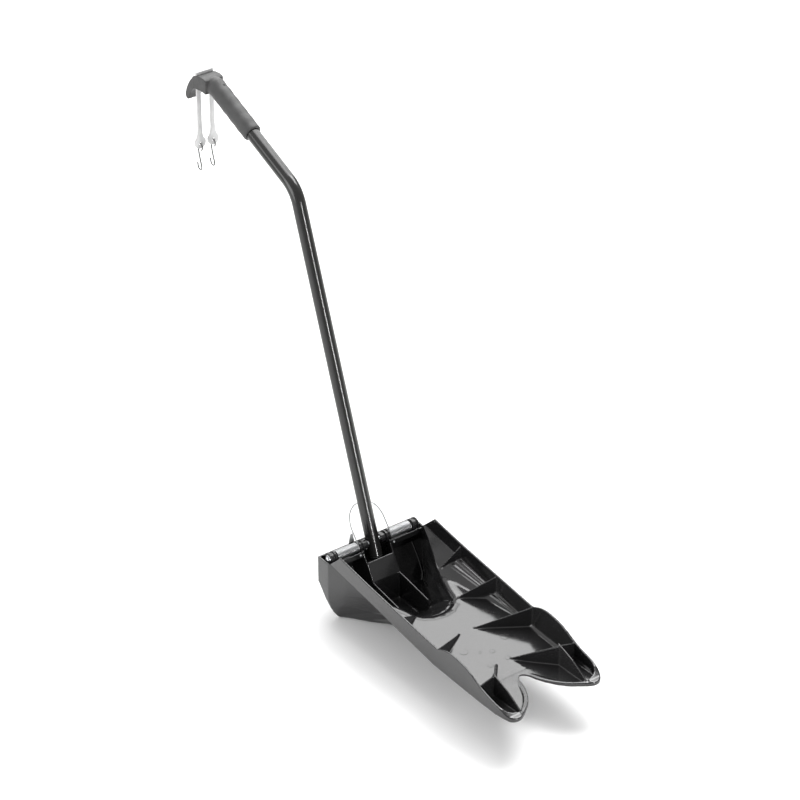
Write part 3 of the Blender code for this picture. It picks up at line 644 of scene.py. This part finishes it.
def pocket_plates():
    """Handle pocket, stop, spring trough and saddle, trimmed to the bucket."""
    deep = 0.120
    side = [(deep, 0.1082), (0.057, 0.1082), (0.055, 0.102), (0.028, 0.056), (-0.0560, 0.0435),
            (-0.0600, 0.0350), (-0.0600, -0.020), (deep, -0.020)]
    plates = [side_plate("pocket_rib", side, POCKET_RIB_X, 0.003)]
    front = [(0.0462, 0.088), (0.0275, 0.0560), (0.0250, -0.020), (0.0285, -0.020),
             (0.0308, 0.0552), (0.0492, 0.0865)]
    plates.append(side_plate("pocket_front", front, 0, 2 * POCKET_RIB_X))
    stop = [(0.0755, 0.0855), (deep, 0.0855), (deep, 0.070), (0.0755, 0.076)]
    plates.append(side_plate("tube_stop", stop, 0, 0.008))
    trough = [(TROUGH_Y, 0.107), (TROUGH_Y + 0.0028, 0.107), (TROUGH_Y + 0.0032, 0.0978),
              (deep, 0.0978), (deep, 0.0952), (TROUGH_Y, 0.0952)]
    plates.append(side_plate("trough", trough, (POCKET_RIB_X + 0.110) / 2, 0.110 - POCKET_RIB_X))
    saddle = [(deep, 0.108), (TROUGH_Y + 0.001, 0.108), (TROUGH_Y + 0.001, 0.0960), (deep, 0.0960)]
    plates.append(side_plate("saddle", saddle, SADDLE_X, RIB_THICKNESS))
    for made in plates:
        boolean(made, bucket_block("bucket_core", SINK, 0.150), "INTERSECT")
    return plates


def scoop_solid():
    """The moulding's sharp-edged solid, right half made and mirrored."""
    outer = pan_block("scoop_moulding", 0.0, 0.180, REAR_Y)
    boolean(outer, bucket_block("bucket_outer", 0.0, 0.150), "UNION")
    boolean(outer, upright_block("plan", plan_outline(PRONG), -0.050, 0.250), "INTERSECT")
    sky = RIM + [(-0.500, 0.0785), (-0.500, 0.300), (0.120, 0.300), (0.120, 0.109)]
    boolean(outer, side_plate("sky", sky, 0, 0.300), "DIFFERENCE")
    hollow = pan_block("pan_inner", WALL, 0.200, REAR_Y - WALL)
    boolean(hollow, upright_block("inner_plan", plan_outline(PRONG_HOLLOW), -0.050, 0.250),
            "INTERSECT")
    boolean(outer, hollow, "DIFFERENCE")
    boolean(outer, bucket_block("bucket_inner", WALL, 0.190), "DIFFERENCE")
    above_lip = NOTCH_LIP + [(-0.500, 0.300), (-0.340, 0.300)]
    boolean(outer, side_plate("above_lip", above_lip, 0, 2 * TINE_RIB_X + 0.006), "DIFFERENCE")
    webs = pocket_plates()
    webs += [gusset(f"gusset_{i}", top, foot) for i, (top, foot) in enumerate(GUSSETS)]
    webs += tine_ribs()
    for web in webs:
        boolean(outer, web, "UNION")
    for saddle_x in (SADDLE_X, POCKET_RIB_X):
        boolean(outer, drill("cradle", (saddle_x - 0.004, AXLE_Y, AXLE_Z), (1, 0, 0),
                             HUB_RADIUS + GAP, 0.008), "DIFFERENCE")
    mirror = outer.modifiers.new("both_sides", "MIRROR")
    mirror.use_bisect_axis[0] = True
    mirror.bisect_threshold = 0.000001
    mirror.merge_threshold = 0.00001
    return applied(outer)


def raise_ledge_beads(obj):
    """Push two low rounded beads out of the sloping ledge between wall and floor."""
    co = coordinates(obj)
    y = co[:, 1]
    side = np.sign(co[:, 0])
    strip_z = np.maximum(0.108 - 0.1331 * (0.008 - y), FLOOR_Z) + 0.57 * WALL
    foot_x = np.minimum(HALF_WIDTH - 0.193 * (y + 0.255), HALF_WIDTH - 0.007) - 0.4 * WALL
    foot_z = FLOOR_Z + 0.036 * (y + 0.202)
    run_x = HALF_WIDTH - WALL - foot_x
    run_z = strip_z - foot_z
    length = np.hypot(run_x, run_z)
    share = ((np.abs(co[:, 0]) - foot_x) * run_x + (co[:, 2] - foot_z) * run_z) / length ** 2
    off = np.abs((np.abs(co[:, 0]) - foot_x) * run_z - (co[:, 2] - foot_z) * run_x) / length
    inside = (share > 0.40) & (share < 1.0) & (off < 0.0012) & (y < -0.035) & (y > -0.235)
    lift = np.where(inside, BEAD_HEIGHT * np.sin((share - 0.40) / 0.60 * 2 * np.pi) ** 2, 0.0)
    lift *= np.clip((-0.035 - y) / 0.020, 0, 1) * np.clip((y + 0.235) / 0.020, 0, 1)
    co[:, 0] -= side * lift * run_z / length
    co[:, 2] += lift * run_x / length
    obj.data.vertices.foreach_set("co", co.ravel())
    obj.data.update()


def roll_mouth_lip(obj):
    """Roll the floor down into the bucket all round the front of its mouth."""
    co = coordinates(obj)
    mouth = [(x, y, 0.0) for x, y in bucket_half(0.0, WALL) if y < 0.020]
    flat = co * np.array([1.0, 1.0, 0.0])
    flat[:, 0] = np.abs(flat[:, 0])
    best = distance_to(flat, mouth)
    share = np.clip(1 - best / LIP_REACH, 0, 1) ** 2
    depth = np.clip((co[:, 2] - 0.035) / 0.035, 0, 1)
    ahead = np.clip((0.010 - co[:, 1]) / 0.040, 0, 1)
    co[:, 2] -= LIP_DROP * share * depth * depth * ahead * ahead * (3 - 2 * ahead)
    obj.data.vertices.foreach_set("co", co.ravel())
    obj.data.update()


def both_sides(line):
    """A line and its mirror image."""
    return [line, [(-x, y, z) for x, y, z in line]]


def build_scoop():
    """Round the sharp solid as the mould does: small edges all over, a wide lip at the mouth and tips."""
    obj = scoop_solid()
    voxelled(obj, SCOOP_VOXEL)
    scale = 1.0
    softened(obj, 5)
    co = coordinates(obj)
    mouth = [(x, y, floor_z(y)) for x, y in bucket_half(0.0, WALL) if y < 0.012]
    weights = np.zeros(len(co))
    for line in both_sides(mouth):
        weights = np.maximum(weights, near(co, line, 0.017))
    tip = [(x, y, 0.0735) for x, y in PRONG if y < -0.380]
    for line in both_sides(tip):
        weights = np.maximum(weights, 0.45 * near(co, line, 0.012))
    under_strip = [(0.104, 0.052, 0.070), (0.101, 0.0, 0.066), (0.088, -0.060, 0.068)]
    for line in both_sides(under_strip):
        weights = np.maximum(weights, near(co, line, 0.022) * (np.abs(co[:, 0]) > 0.080))
    ledge_foot = [(ramp_foot_x(y), y, floor_z(y)) for y in (-0.030, -0.060, -0.100, -0.150, -0.220)]
    for line in both_sides(ledge_foot):
        weights = np.maximum(weights, near(co, line, 0.013))
    base = np.clip((0.016 - co[:, 2]) / 0.008, 0, 1)
    weights = np.maximum(weights, base)
    softened(obj, int(70 * scale), weights)
    raise_ledge_beads(obj)
    roll_mouth_lip(obj)
    co = coordinates(obj)
    rolled = [(x, y, floor_z(y) - LIP_DROP) for x, y in bucket_half(0.0, WALL) if y < 0.012]
    weights = np.zeros(len(co))
    for line in both_sides(rolled):
        weights = np.maximum(weights, near(co, line, 0.015))
    softened(obj, int(40 * scale), weights)
    softened(obj, 2)
    thinned(obj, 0.2)
    return settle(obj, BLACK_PP, "black_moulding", "scoop", "scoop_body", smooth_angle=None)


def build_mould_marks():
    """Faint rings that the mould leaves on the pan's floor."""
    rings = []
    marks = ((-0.0387, -0.245, 0.0075), (0.0450, -0.252, 0.0070), (0.0024, -0.272, 0.0042),
             (-0.0238, -0.301, 0.0046), (0.0135, -0.301, 0.0046), (-0.0160, -0.262, 0.0022))
    for x, y, radius in marks:
        z = floor_z(y)
        profile = [(radius, 0.00022), (radius + 0.0007, 0.00022), (radius + 0.0009, -0.0008),
                   (radius - 0.0002, -0.0008)]
        rings.append(turned("mark", profile, (x, y, z), (0, 0, 1), 48, ring=True, radius=0.0002))
    rings[0].name = "floor_mould_marks"
    settle(join(rings), BLACK_PP, "black_moulding", "scoop")


# ---------------------------------------------------------------- handle

def grip_point(along):
    """A point on the grip's centre line."""
    return BEND_CORNER + UPPER_DIR * (GRIP_START + along)


def tube_path():
    """Centre line of the bent tube, from its foot into the grip."""
    turn = LOWER_DIR.angle(UPPER_DIR)
    start = BEND_CORNER - LOWER_DIR * (BEND_RADIUS * math.tan(turn / 2))
    inward = (UPPER_DIR - LOWER_DIR * UPPER_DIR.dot(LOWER_DIR)).normalized()
    centre = start + inward * BEND_RADIUS
    foot = AXLE_POINT - LOWER_DIR * TUBE_BELOW_AXLE
    points = [foot.lerp(start, k / 12) for k in range(12)]
    for step in range(25):
        angle = turn * step / 24
        points.append(centre - inward * BEND_RADIUS * math.cos(angle)
                      + LOWER_DIR * BEND_RADIUS * math.sin(angle))
    last = points[-1]
    points += [last.lerp(grip_point(TUBE_IN_GRIP), k / 6) for k in range(1, 7)]
    return points


def build_tube():
    """Hollow bent tube with rounded rims, drilled across for the axle sleeve."""
    sides = 56
    path = tube_path()
    rounding = 0.0004
    rings = [(path[0], TUBE_RADIUS - rounding, 0.0), (path[0], TUBE_RADIUS, rounding)]
    rings += [(p, TUBE_RADIUS, 0.0) for p in path[1:-1]]
    rings += [(path[-1], TUBE_RADIUS, -rounding), (path[-1], TUBE_RADIUS - rounding, 0.0)]
    inner = TUBE_RADIUS - TUBE_WALL
    rings += [(path[-1], inner + rounding, 0.0), (path[-1], inner, -rounding)]
    rings += [(p, inner, 0.0) for p in path[-2:0:-1]]
    rings += [(path[0], inner, rounding), (path[0], inner + rounding, 0.0)]
    verts = []
    for centre, radius, shift in rings:
        index = min(range(len(path)), key=lambda i: (path[i] - centre).length)
        before = path[max(index - 1, 0)]
        after = path[min(index + 1, len(path) - 1)]
        tangent = (after - before).normalized()
        normal = Vector((1, 0, 0))
        other = tangent.cross(normal)
        for k in range(sides):
            angle = 2 * math.pi * (k + 0.5) / sides
            verts.append(centre + tangent * shift
                         + (normal * math.cos(angle) + other * math.sin(angle)) * radius)
    faces = []
    count = len(rings)
    for i in range(count):
        low, high = i * sides, ((i + 1) % count) * sides
        for k in range(sides):
            m = (k + 1) % sides
            faces.append([low + k, low + m, high + m, high + k])
    tube = face_out(mesh_object("handle_tube_skin", verts, faces))
    start = AXLE_POINT - Vector((0.030, 0, 0))
    boolean(tube, drill("tube_drill", start, (1, 0, 0), 0.0063, 0.060), "DIFFERENCE")
    settle(tube, DARK_TUBE, "dark_tube", "handle", "handle_tube")
    inside = inner - GAP
    profile = [(0, 0.010), (inside - 0.0006, 0.010), (inside, 0.0092), (inside, -GAP),
               (TUBE_RADIUS - 0.0004, -GAP), (TUBE_RADIUS - 0.0004, -0.0020), (0, -0.0020)]
    plug = turned("tube_end_plug", profile, path[0], LOWER_DIR, radius=0.0006)
    settle(plug, PLUG_BLACK, "plug", "handle", "tube_plug")
    sleeve = [(0.006, 0.0142), (0.006, -0.0142), (BORE_RADIUS, -0.0142), (BORE_RADIUS, 0.0142)]
    collar = turned("tube_bearing_collar", sleeve, AXLE_POINT, (1, 0, 0), ring=True)
    settle(collar, ZINC, "zinc", "handle", "tube_collar")


HEAD = [(0.4630, 0.7235), (0.4700, 0.7255), (0.4860, 0.7245), (0.5030, 0.7185), (0.5185, 0.7065),
        (0.5310, 0.6900), (0.5385, 0.6730), (0.5385, 0.6640), (0.5330, 0.6605), (0.5275, 0.6640),
        (0.5210, 0.6790), (0.5090, 0.6910), (0.4900, 0.6970), (0.4700, 0.6975), (0.4630, 0.6970)]


def grip_screw_place():
    """Point on the grip's surface and outward direction of its screw."""
    turn = math.radians(14)
    out = (UPPER_NORMAL * math.cos(turn) + Vector((math.sin(turn), 0, 0))).normalized()
    return grip_point(0.106) + out * GRIP_RADIUS, out


def build_grip():
    """Moulded grip: barrel with finger swells, squared head and a hooked nose, all edges rounded."""
    profile = [(0, GRIP_LENGTH + 0.013), (0.0100, GRIP_LENGTH + 0.013), (0.0135, GRIP_LENGTH + 0.009)]
    for k in range(41):
        along = GRIP_LENGTH * (1 - k / 40)
        profile.append((GRIP_RADIUS - 0.0003 + 0.0003 * math.cos(along * 2 * math.pi / 0.024), along))
    profile[-1] = (GRIP_RADIUS - 0.001, 0.0)
    profile.append((0, 0))
    grip = turned("grip_moulding", profile, grip_point(0), UPPER_DIR, 72, radius=0.0)
    shapes = [grip]
    for k in range(4):
        centre = grip_point(0.026 + 0.022 * k) - UPPER_NORMAL * (GRIP_RADIUS - 0.0072)
        swell = [(0, 0.0088), (0.0050, 0.0080), (0.0088, 0.0050), (0.0100, 0), (0.0088, -0.0050),
                 (0.0050, -0.0080), (0, -0.0088)]
        shapes.append(turned(f"swell_{k}", swell, centre, UPPER_NORMAL, 32, radius=0.001))
    head_line = [(AXLE_Y + p.x, AXLE_Z + p.y) for p in curve_through([(y, z, 0) for y, z in HEAD], 3)]
    head = side_plate("head", head_line, 0, 0.038)
    nose_cut = [(AXLE_Y + 0.506, 0.70), (AXLE_Y + 0.60, 0.70), (AXLE_Y + 0.60, 0.90),
                (AXLE_Y + 0.506, 0.90)]
    for side in (-1, 1):
        boolean(head, side_plate("taper", nose_cut, side * 0.0225, 0.019), "DIFFERENCE")
    shapes.append(head)
    join(shapes)
    voxelled(grip, GRIP_VOXEL)
    softened(grip, 22)
    bore = drill("bore", grip_point(-0.010), UPPER_DIR, TUBE_RADIUS + GAP, TUBE_IN_GRIP + 0.010 + GAP)
    thinned(grip, 0.4)
    boolean(grip, bore, "DIFFERENCE")
    near_y = STRAP_Y - STRAP_THICKNESS / 2 - GAP
    far_y = STRAP_Y + STRAP_THICKNESS / 2 + GAP
    slot = [(near_y, AXLE_Z + 0.680), (far_y, AXLE_Z + 0.680), (far_y, AXLE_Z + 0.740),
            (near_y, AXLE_Z + 0.740)]
    for side in (-1, 1):
        boolean(grip, side_plate("slot", slot, side * STRAP_X, STRAP_WIDTH + 2 * GAP), "DIFFERENCE")
    point, out = grip_screw_place()
    boolean(grip, drill("screw_hole", point - out * 0.005, out, 0.0024, 0.015), "DIFFERENCE")
    settle(grip, GRIP_GREY, "grip", "handle", "grip")
    profile = [(0, -0.0008), (0.0014, -0.0010), (0.0020, -0.0018), (0.0020, -0.0032), (0, -0.0032)]
    screw = turned("grip_locking_screw", profile, point, out, 24, radius=0.0002)
    settle(screw, SCREW_BLACK, "dark_screw", "handle", "grip_screw")


# ---------------------------------------------------------------- axle, bushes and spring

def build_axle():
    """Axle, washers, domed heads, bushes, sleeves and the trough's screws."""
    end = 0.0966
    rod = [(0, end), (AXLE_RADIUS - 0.0006, end), (AXLE_RADIUS, end - 0.0006),
           (AXLE_RADIUS, 0.0006 - end), (AXLE_RADIUS - 0.0006, -end), (0, -end)]
    settle(turned("cross_axle", rod, AXLE_POINT, (1, 0, 0)), ZINC, "zinc", "scoop", "axle_rod")
    washer = [(0.0078, 0.0966), (0.0078, 0.0956), (BORE_RADIUS, 0.0956), (BORE_RADIUS, 0.0966)]
    head = [(0, 0.1000), (0.0015, 0.09995), (0.0030, 0.0996), (0.0044, 0.0989), (0.0053, 0.0978),
            (0.0056, 0.0969), (0, 0.0969)]
    outer_bush = [(FLANGE_RADIUS, 0.0953), (FLANGE_RADIUS, 0.0928), (HUB_RADIUS, 0.0928),
                  (HUB_RADIUS, 0.0862), (FLANGE_RADIUS, 0.0862), (FLANGE_RADIUS, 0.0832),
                  (BORE_RADIUS, 0.0832), (BORE_RADIUS, 0.0953)]
    inner_bush = [(FLANGE_RADIUS, 0.0336), (FLANGE_RADIUS, 0.0308), (HUB_RADIUS, 0.0308),
                  (HUB_RADIUS, 0.0272), (FLANGE_RADIUS, 0.0272), (FLANGE_RADIUS, 0.0245),
                  (BORE_RADIUS, 0.0245), (BORE_RADIUS, 0.0336)]
    sleeve = [(0.0085, 0.0242), (0.0085, 0.0145), (BORE_RADIUS, 0.0145), (BORE_RADIUS, 0.0242)]
    screw = [(0, 0.0026), (0.0016, 0.0023), (0.0026, 0.0014), (0.0028, GAP), (0.0011, GAP),
             (0.0011, -0.0016), (0, -0.0016)]
    rows = (("washer", washer, True, ZINC, "zinc", "axle_washer"),
            ("axle_cap", head, False, ZINC, "zinc", "axle_head"),
            ("outer_flanged_bush", outer_bush, True, BUSH_BLACK, "bush", "outer_bush"),
            ("inner_flanged_bush", inner_bush, True, BUSH_BLACK, "bush", "inner_bush"),
            ("spacer_sleeve", sleeve, True, BUSH_BLACK, "bush", "sleeve"))
    for word, side in SIDES:
        for name, profile, ring, material, slot, node in rows:
            made = turned(f"{name}_{word}", profile, AXLE_POINT, (side, 0, 0), ring=ring)
            settle(made, material, slot, "scoop", f"{node}_{word}")
        place = (side * SCREW_X, TROUGH_Y, SCREW_Z)
        made = turned(f"trough_screw_{word}", screw, place, (0, -1, 0), 28, radius=0.0002)
        settle(made, ZINC, "zinc", "scoop", f"bush_screw_{word}")


def coil_point(x, angle):
    """A point on the coil's centre line; angle 0 is straight ahead."""
    return Vector((x, AXLE_Y - COIL_RADIUS * math.cos(angle), AXLE_Z + COIL_RADIUS * math.sin(angle)))


def build_spring():
    """Two close-wound coils on the scoop, and the bail with the coils' first bends on the handle."""
    around = 24
    total = int(COIL_TURNS * around)
    pitch = (COIL_OUTER_X - COIL_ROOT_X) / total
    for word, side in SIDES:
        points = []
        for step in range(1, total + 1):
            angle = BAIL_LEAN - 2 * math.pi * step / around
            points.append(coil_point(side * (COIL_ROOT_X + pitch * step), angle))
        away = (points[-1] - points[-2]).normalized()
        away.x = 0
        points += [points[-1] + away * 0.003, points[-1] + away * 0.009]
        coil = sweep(f"spring_coil_{word}", points, WIRE_RADIUS, 12)
        settle(coil, SPRING_WIRE, "spring_wire", "scoop", smooth_angle=None)
    rise = Vector((0, math.sin(BAIL_LEAN), math.cos(BAIL_LEAN)))
    root = coil_point(COIL_ROOT_X, BAIL_LEAN)
    half = []
    for step in range(3, 0, -1):
        half.append(coil_point(COIL_ROOT_X + pitch * step, BAIL_LEAN - 2 * math.pi * step / around))
    half += [root, root + rise * BAIL_LENGTH * 0.12, root + rise * BAIL_LENGTH * 0.25]
    arc = 16
    for step in range(arc, -1, -1):
        angle = math.radians(90 * (arc - step) / arc)
        lift = BAIL_LENGTH * (0.42 + 0.58 * math.sin(angle))
        across = root.x * math.cos(angle) ** 0.85 if step else 0.0
        half.append(Vector((across, root.y, root.z)) + rise * lift)
    path = half + [Vector((-p.x, p.y, p.z)) for p in half[-2::-1]]
    bail = sweep("spring_bail", path, WIRE_RADIUS, 12)
    settle(bail, SPRING_WIRE, "spring_wire", "handle", "torsion_spring", smooth_angle=None)


def build_keeper():
    """The sheet tab behind the left-hand coil."""
    outline = [(-0.0360, AXLE_Z - 0.020), (-0.0245, AXLE_Z - 0.020), (-0.0245, AXLE_Z),
               (-0.0280, AXLE_Z + 0.0155), (-0.0325, AXLE_Z + 0.0155), (-0.0360, AXLE_Z)]
    tab = plate("keeper_tab", outline, 0.0015, (0, REAR_Y + GAP + 0.00075, 0), (1, 0, 0), (0, 0, 1))
    bevel(tab, 0.0004)
    settle(tab, KEEPER_SHEET, "keeper", "scoop", "spring_keeper")


def bevel(obj, width, segments=2):
    """Round the sharp edges of a mesh."""
    modifier = obj.modifiers.new("edges", "BEVEL")
    modifier.width = width
    modifier.segments = segments
    modifier.limit_method = "ANGLE"
    modifier.angle_limit = math.radians(30)
    return applied(obj)


# ---------------------------------------------------------------- strap and hooks

def build_strap():
    """Rubber strap: a bar over the grip's head and two legs with round eyes, and a hook in each eye."""
    top = AXLE_Z + 0.7285
    seat = AXLE_Z + 0.7224
    outer = STRAP_X + STRAP_WIDTH / 2
    inner = STRAP_X - STRAP_WIDTH / 2
    low = LEG_TOP_Z + GAP
    outline = [(-outer, low), (-inner, low), (-inner, seat), (inner, seat), (inner, low),
               (outer, low), (outer, top), (-outer, top)]
    bar = plate("strap_bridge", outline, STRAP_THICKNESS, (0, STRAP_Y, 0), (1, 0, 0), (0, 0, 1))
    bevel(bar, 0.0009, 3)
    settle(bar, STRAP_RUBBER, "strap", "handle", "strap_bar")
    half = STRAP_WIDTH / 2
    for word, side in SIDES:
        outline = [(half, LEG_TOP_Z), (half, EYE_Z + 0.028), (half + 0.0008, EYE_Z + 0.020)]
        for step in range(25):
            angle = math.radians(52 - 284 * step / 24)
            outline.append((EYE_RIM_RADIUS * math.cos(angle),
                            EYE_Z + EYE_RIM_RISE + EYE_RIM_RADIUS * math.sin(angle)))
        outline += [(-half - 0.0008, EYE_Z + 0.020), (-half, EYE_Z + 0.028), (-half, LEG_TOP_Z)]
        leg = plate(f"strap_leg_soft_{word}", outline, STRAP_THICKNESS, (side * STRAP_X, STRAP_Y, 0),
                    (1, 0, 0), (0, 0, 1))
        start = (side * STRAP_X, STRAP_Y - STRAP_THICKNESS, EYE_Z)
        boolean(leg, drill("eye", start, (0, 1, 0), EYE_HOLE_RADIUS, 2 * STRAP_THICKNESS), "DIFFERENCE")
        voxelled(leg, STRAP_VOXEL)
        softened(leg, 4)
        settle(leg, STRAP_RUBBER, "strap", None, f"strap_leg_{word}", smooth_angle=None)
        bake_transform(leg)
        build_hook(word, side)


def build_hook(word, side):
    """Wire S-hook through the strap's eye."""
    y, z = HOOK_PIVOT
    loop_radius = HOOK_LOOP_RADIUS
    points = []
    for step in range(37):
        angle = math.radians(250 - 235 * step / 36)
        points.append((0, y + loop_radius * math.cos(angle), z + loop_radius * math.sin(angle)))
    foot_y, foot_z = y + 0.0035, z - 0.0405
    foot_radius = HOOK_FOOT_RADIUS
    knots = [points[-1], (0, y + 0.0066, z - 0.006), (0, y + 0.0035, z - 0.020),
             (0, foot_y - foot_radius * 0.98, foot_z + 0.0011)]
    points += [tuple(p) for p in curve_through(knots, 6)[1:-1]]
    for step in range(20):
        angle = math.radians(190 + 170 * step / 19)
        points.append((0, foot_y + foot_radius * math.cos(angle), foot_z + foot_radius * math.sin(angle)))
    points.append((0, foot_y + foot_radius + 0.0008, foot_z + 0.005))
    path = [(side * STRAP_X, py, pz) for _, py, pz in points]
    hook = sweep(f"wire_hook_{word}", path, HOOK_WIRE_RADIUS, 12)
    settle(hook, HOOK_WIRE, "hook_wire", f"hook_{word}", f"s_hook_{word}", smooth_angle=None)


# ---------------------------------------------------------------- camera, floor and lights

def add_camera():
    """A long lens from the front left, looking down."""
    data = bpy.data.cameras.new("camera")
    data.sensor_width = 36.0
    data.lens = 141.885
    data.clip_end = 50.0
    camera = link(bpy.data.objects.new("camera", data))
    camera.location = (-2.70389, -3.65242, 3.27949)
    camera.rotation_euler = (math.radians(58.0), 0.0, math.radians(-36.6))
    bpy.context.scene.camera = camera


def area_light(name, place, target, size, power):
    """A soft rectangular lamp aimed at a point."""
    data = bpy.data.lights.new(name, "AREA")
    data.shape = "RECTANGLE"
    data.size, data.size_y = size
    data.energy = power
    lamp = link(bpy.data.objects.new(name, data))
    lamp.location = place
    aim = Vector(target) - Vector(place)
    lamp.rotation_euler = aim.to_track_quat("-Z", "Y").to_euler()
    return lamp


def add_world(front, behind):
    """White surroundings that are brighter behind the object than in front of it."""
    world = bpy.data.worlds.new("studio")
    world.use_nodes = True
    tree = world.node_tree
    back = tree.nodes["Background"]
    back.inputs["Color"].default_value = (1, 1, 1, 1)
    place = add_node(tree, "ShaderNodeTexCoord")
    split = add_node(tree, "ShaderNodeSeparateXYZ")
    fall = add_node(tree, "ShaderNodeMapRange")
    fall.inputs["From Min"].default_value = -1.0
    fall.inputs["From Max"].default_value = 1.0
    fall.inputs["To Min"].default_value = front
    fall.inputs["To Max"].default_value = behind
    tree.links.new(place.outputs["Generated"], split.inputs["Vector"])
    tree.links.new(split.outputs["Y"], fall.inputs["Value"])
    tree.links.new(fall.outputs["Result"], back.inputs["Strength"])
    bpy.context.scene.world = world


def add_floor():
    """A plain pale paper floor."""
    half = 14.0
    floor = mesh_object("studio_floor", [(-half, -half, 0), (half, -half, 0), (half, half, 0),
                                         (-half, half, 0)], [[0, 1, 2, 3]])
    floor.location.z = -0.0004
    paper = bpy.data.materials.new("floor_paper")
    paper.use_nodes = True
    shader = paper.node_tree.nodes["Principled BSDF"]
    shader.inputs["Base Color"].default_value = (0.94, 0.94, 0.94, 1)
    shader.inputs["Roughness"].default_value = 0.9
    shader.inputs["Specular IOR Level"].default_value = 0.1
    floor.data.materials.append(paper)


add_camera()
add_world(0.34, 1.0)
add_floor()
area_light("back_softbox", (1.72, 2.15, 2.45), (0, -0.2, 0.07), (2.8, 1.0), 34)
area_light("back_lower_softbox", (2.05, 2.55, 1.42), (0, -0.2, 0.07), (3.0, 1.0), 20)
area_light("top_right_softbox", (1.5, 0.1, 2.6), (0, -0.2, 0.08), (1.1, 1.1), 34)
area_light("overhead_softbox", (0.9, 1.3, 3.3), (0, -0.1, 0.0), (2.2, 2.2), 66)
area_light("front_strip", (0.05, -3.6, 0.45), (0, 0.1, 0.35), (0.12, 2.2), 70)
area_light("left_fill", (-3.2, 0.6, 1.4), (0, 0, 0.1), (2.4, 2.0), 40)
# Standard keeps the paper floor white and the moulding black.
bpy.context.scene.view_settings.view_transform = "Standard"

build_scoop()
build_mould_marks()
build_tube()
build_grip()
build_axle()
build_spring()
build_keeper()
build_strap()
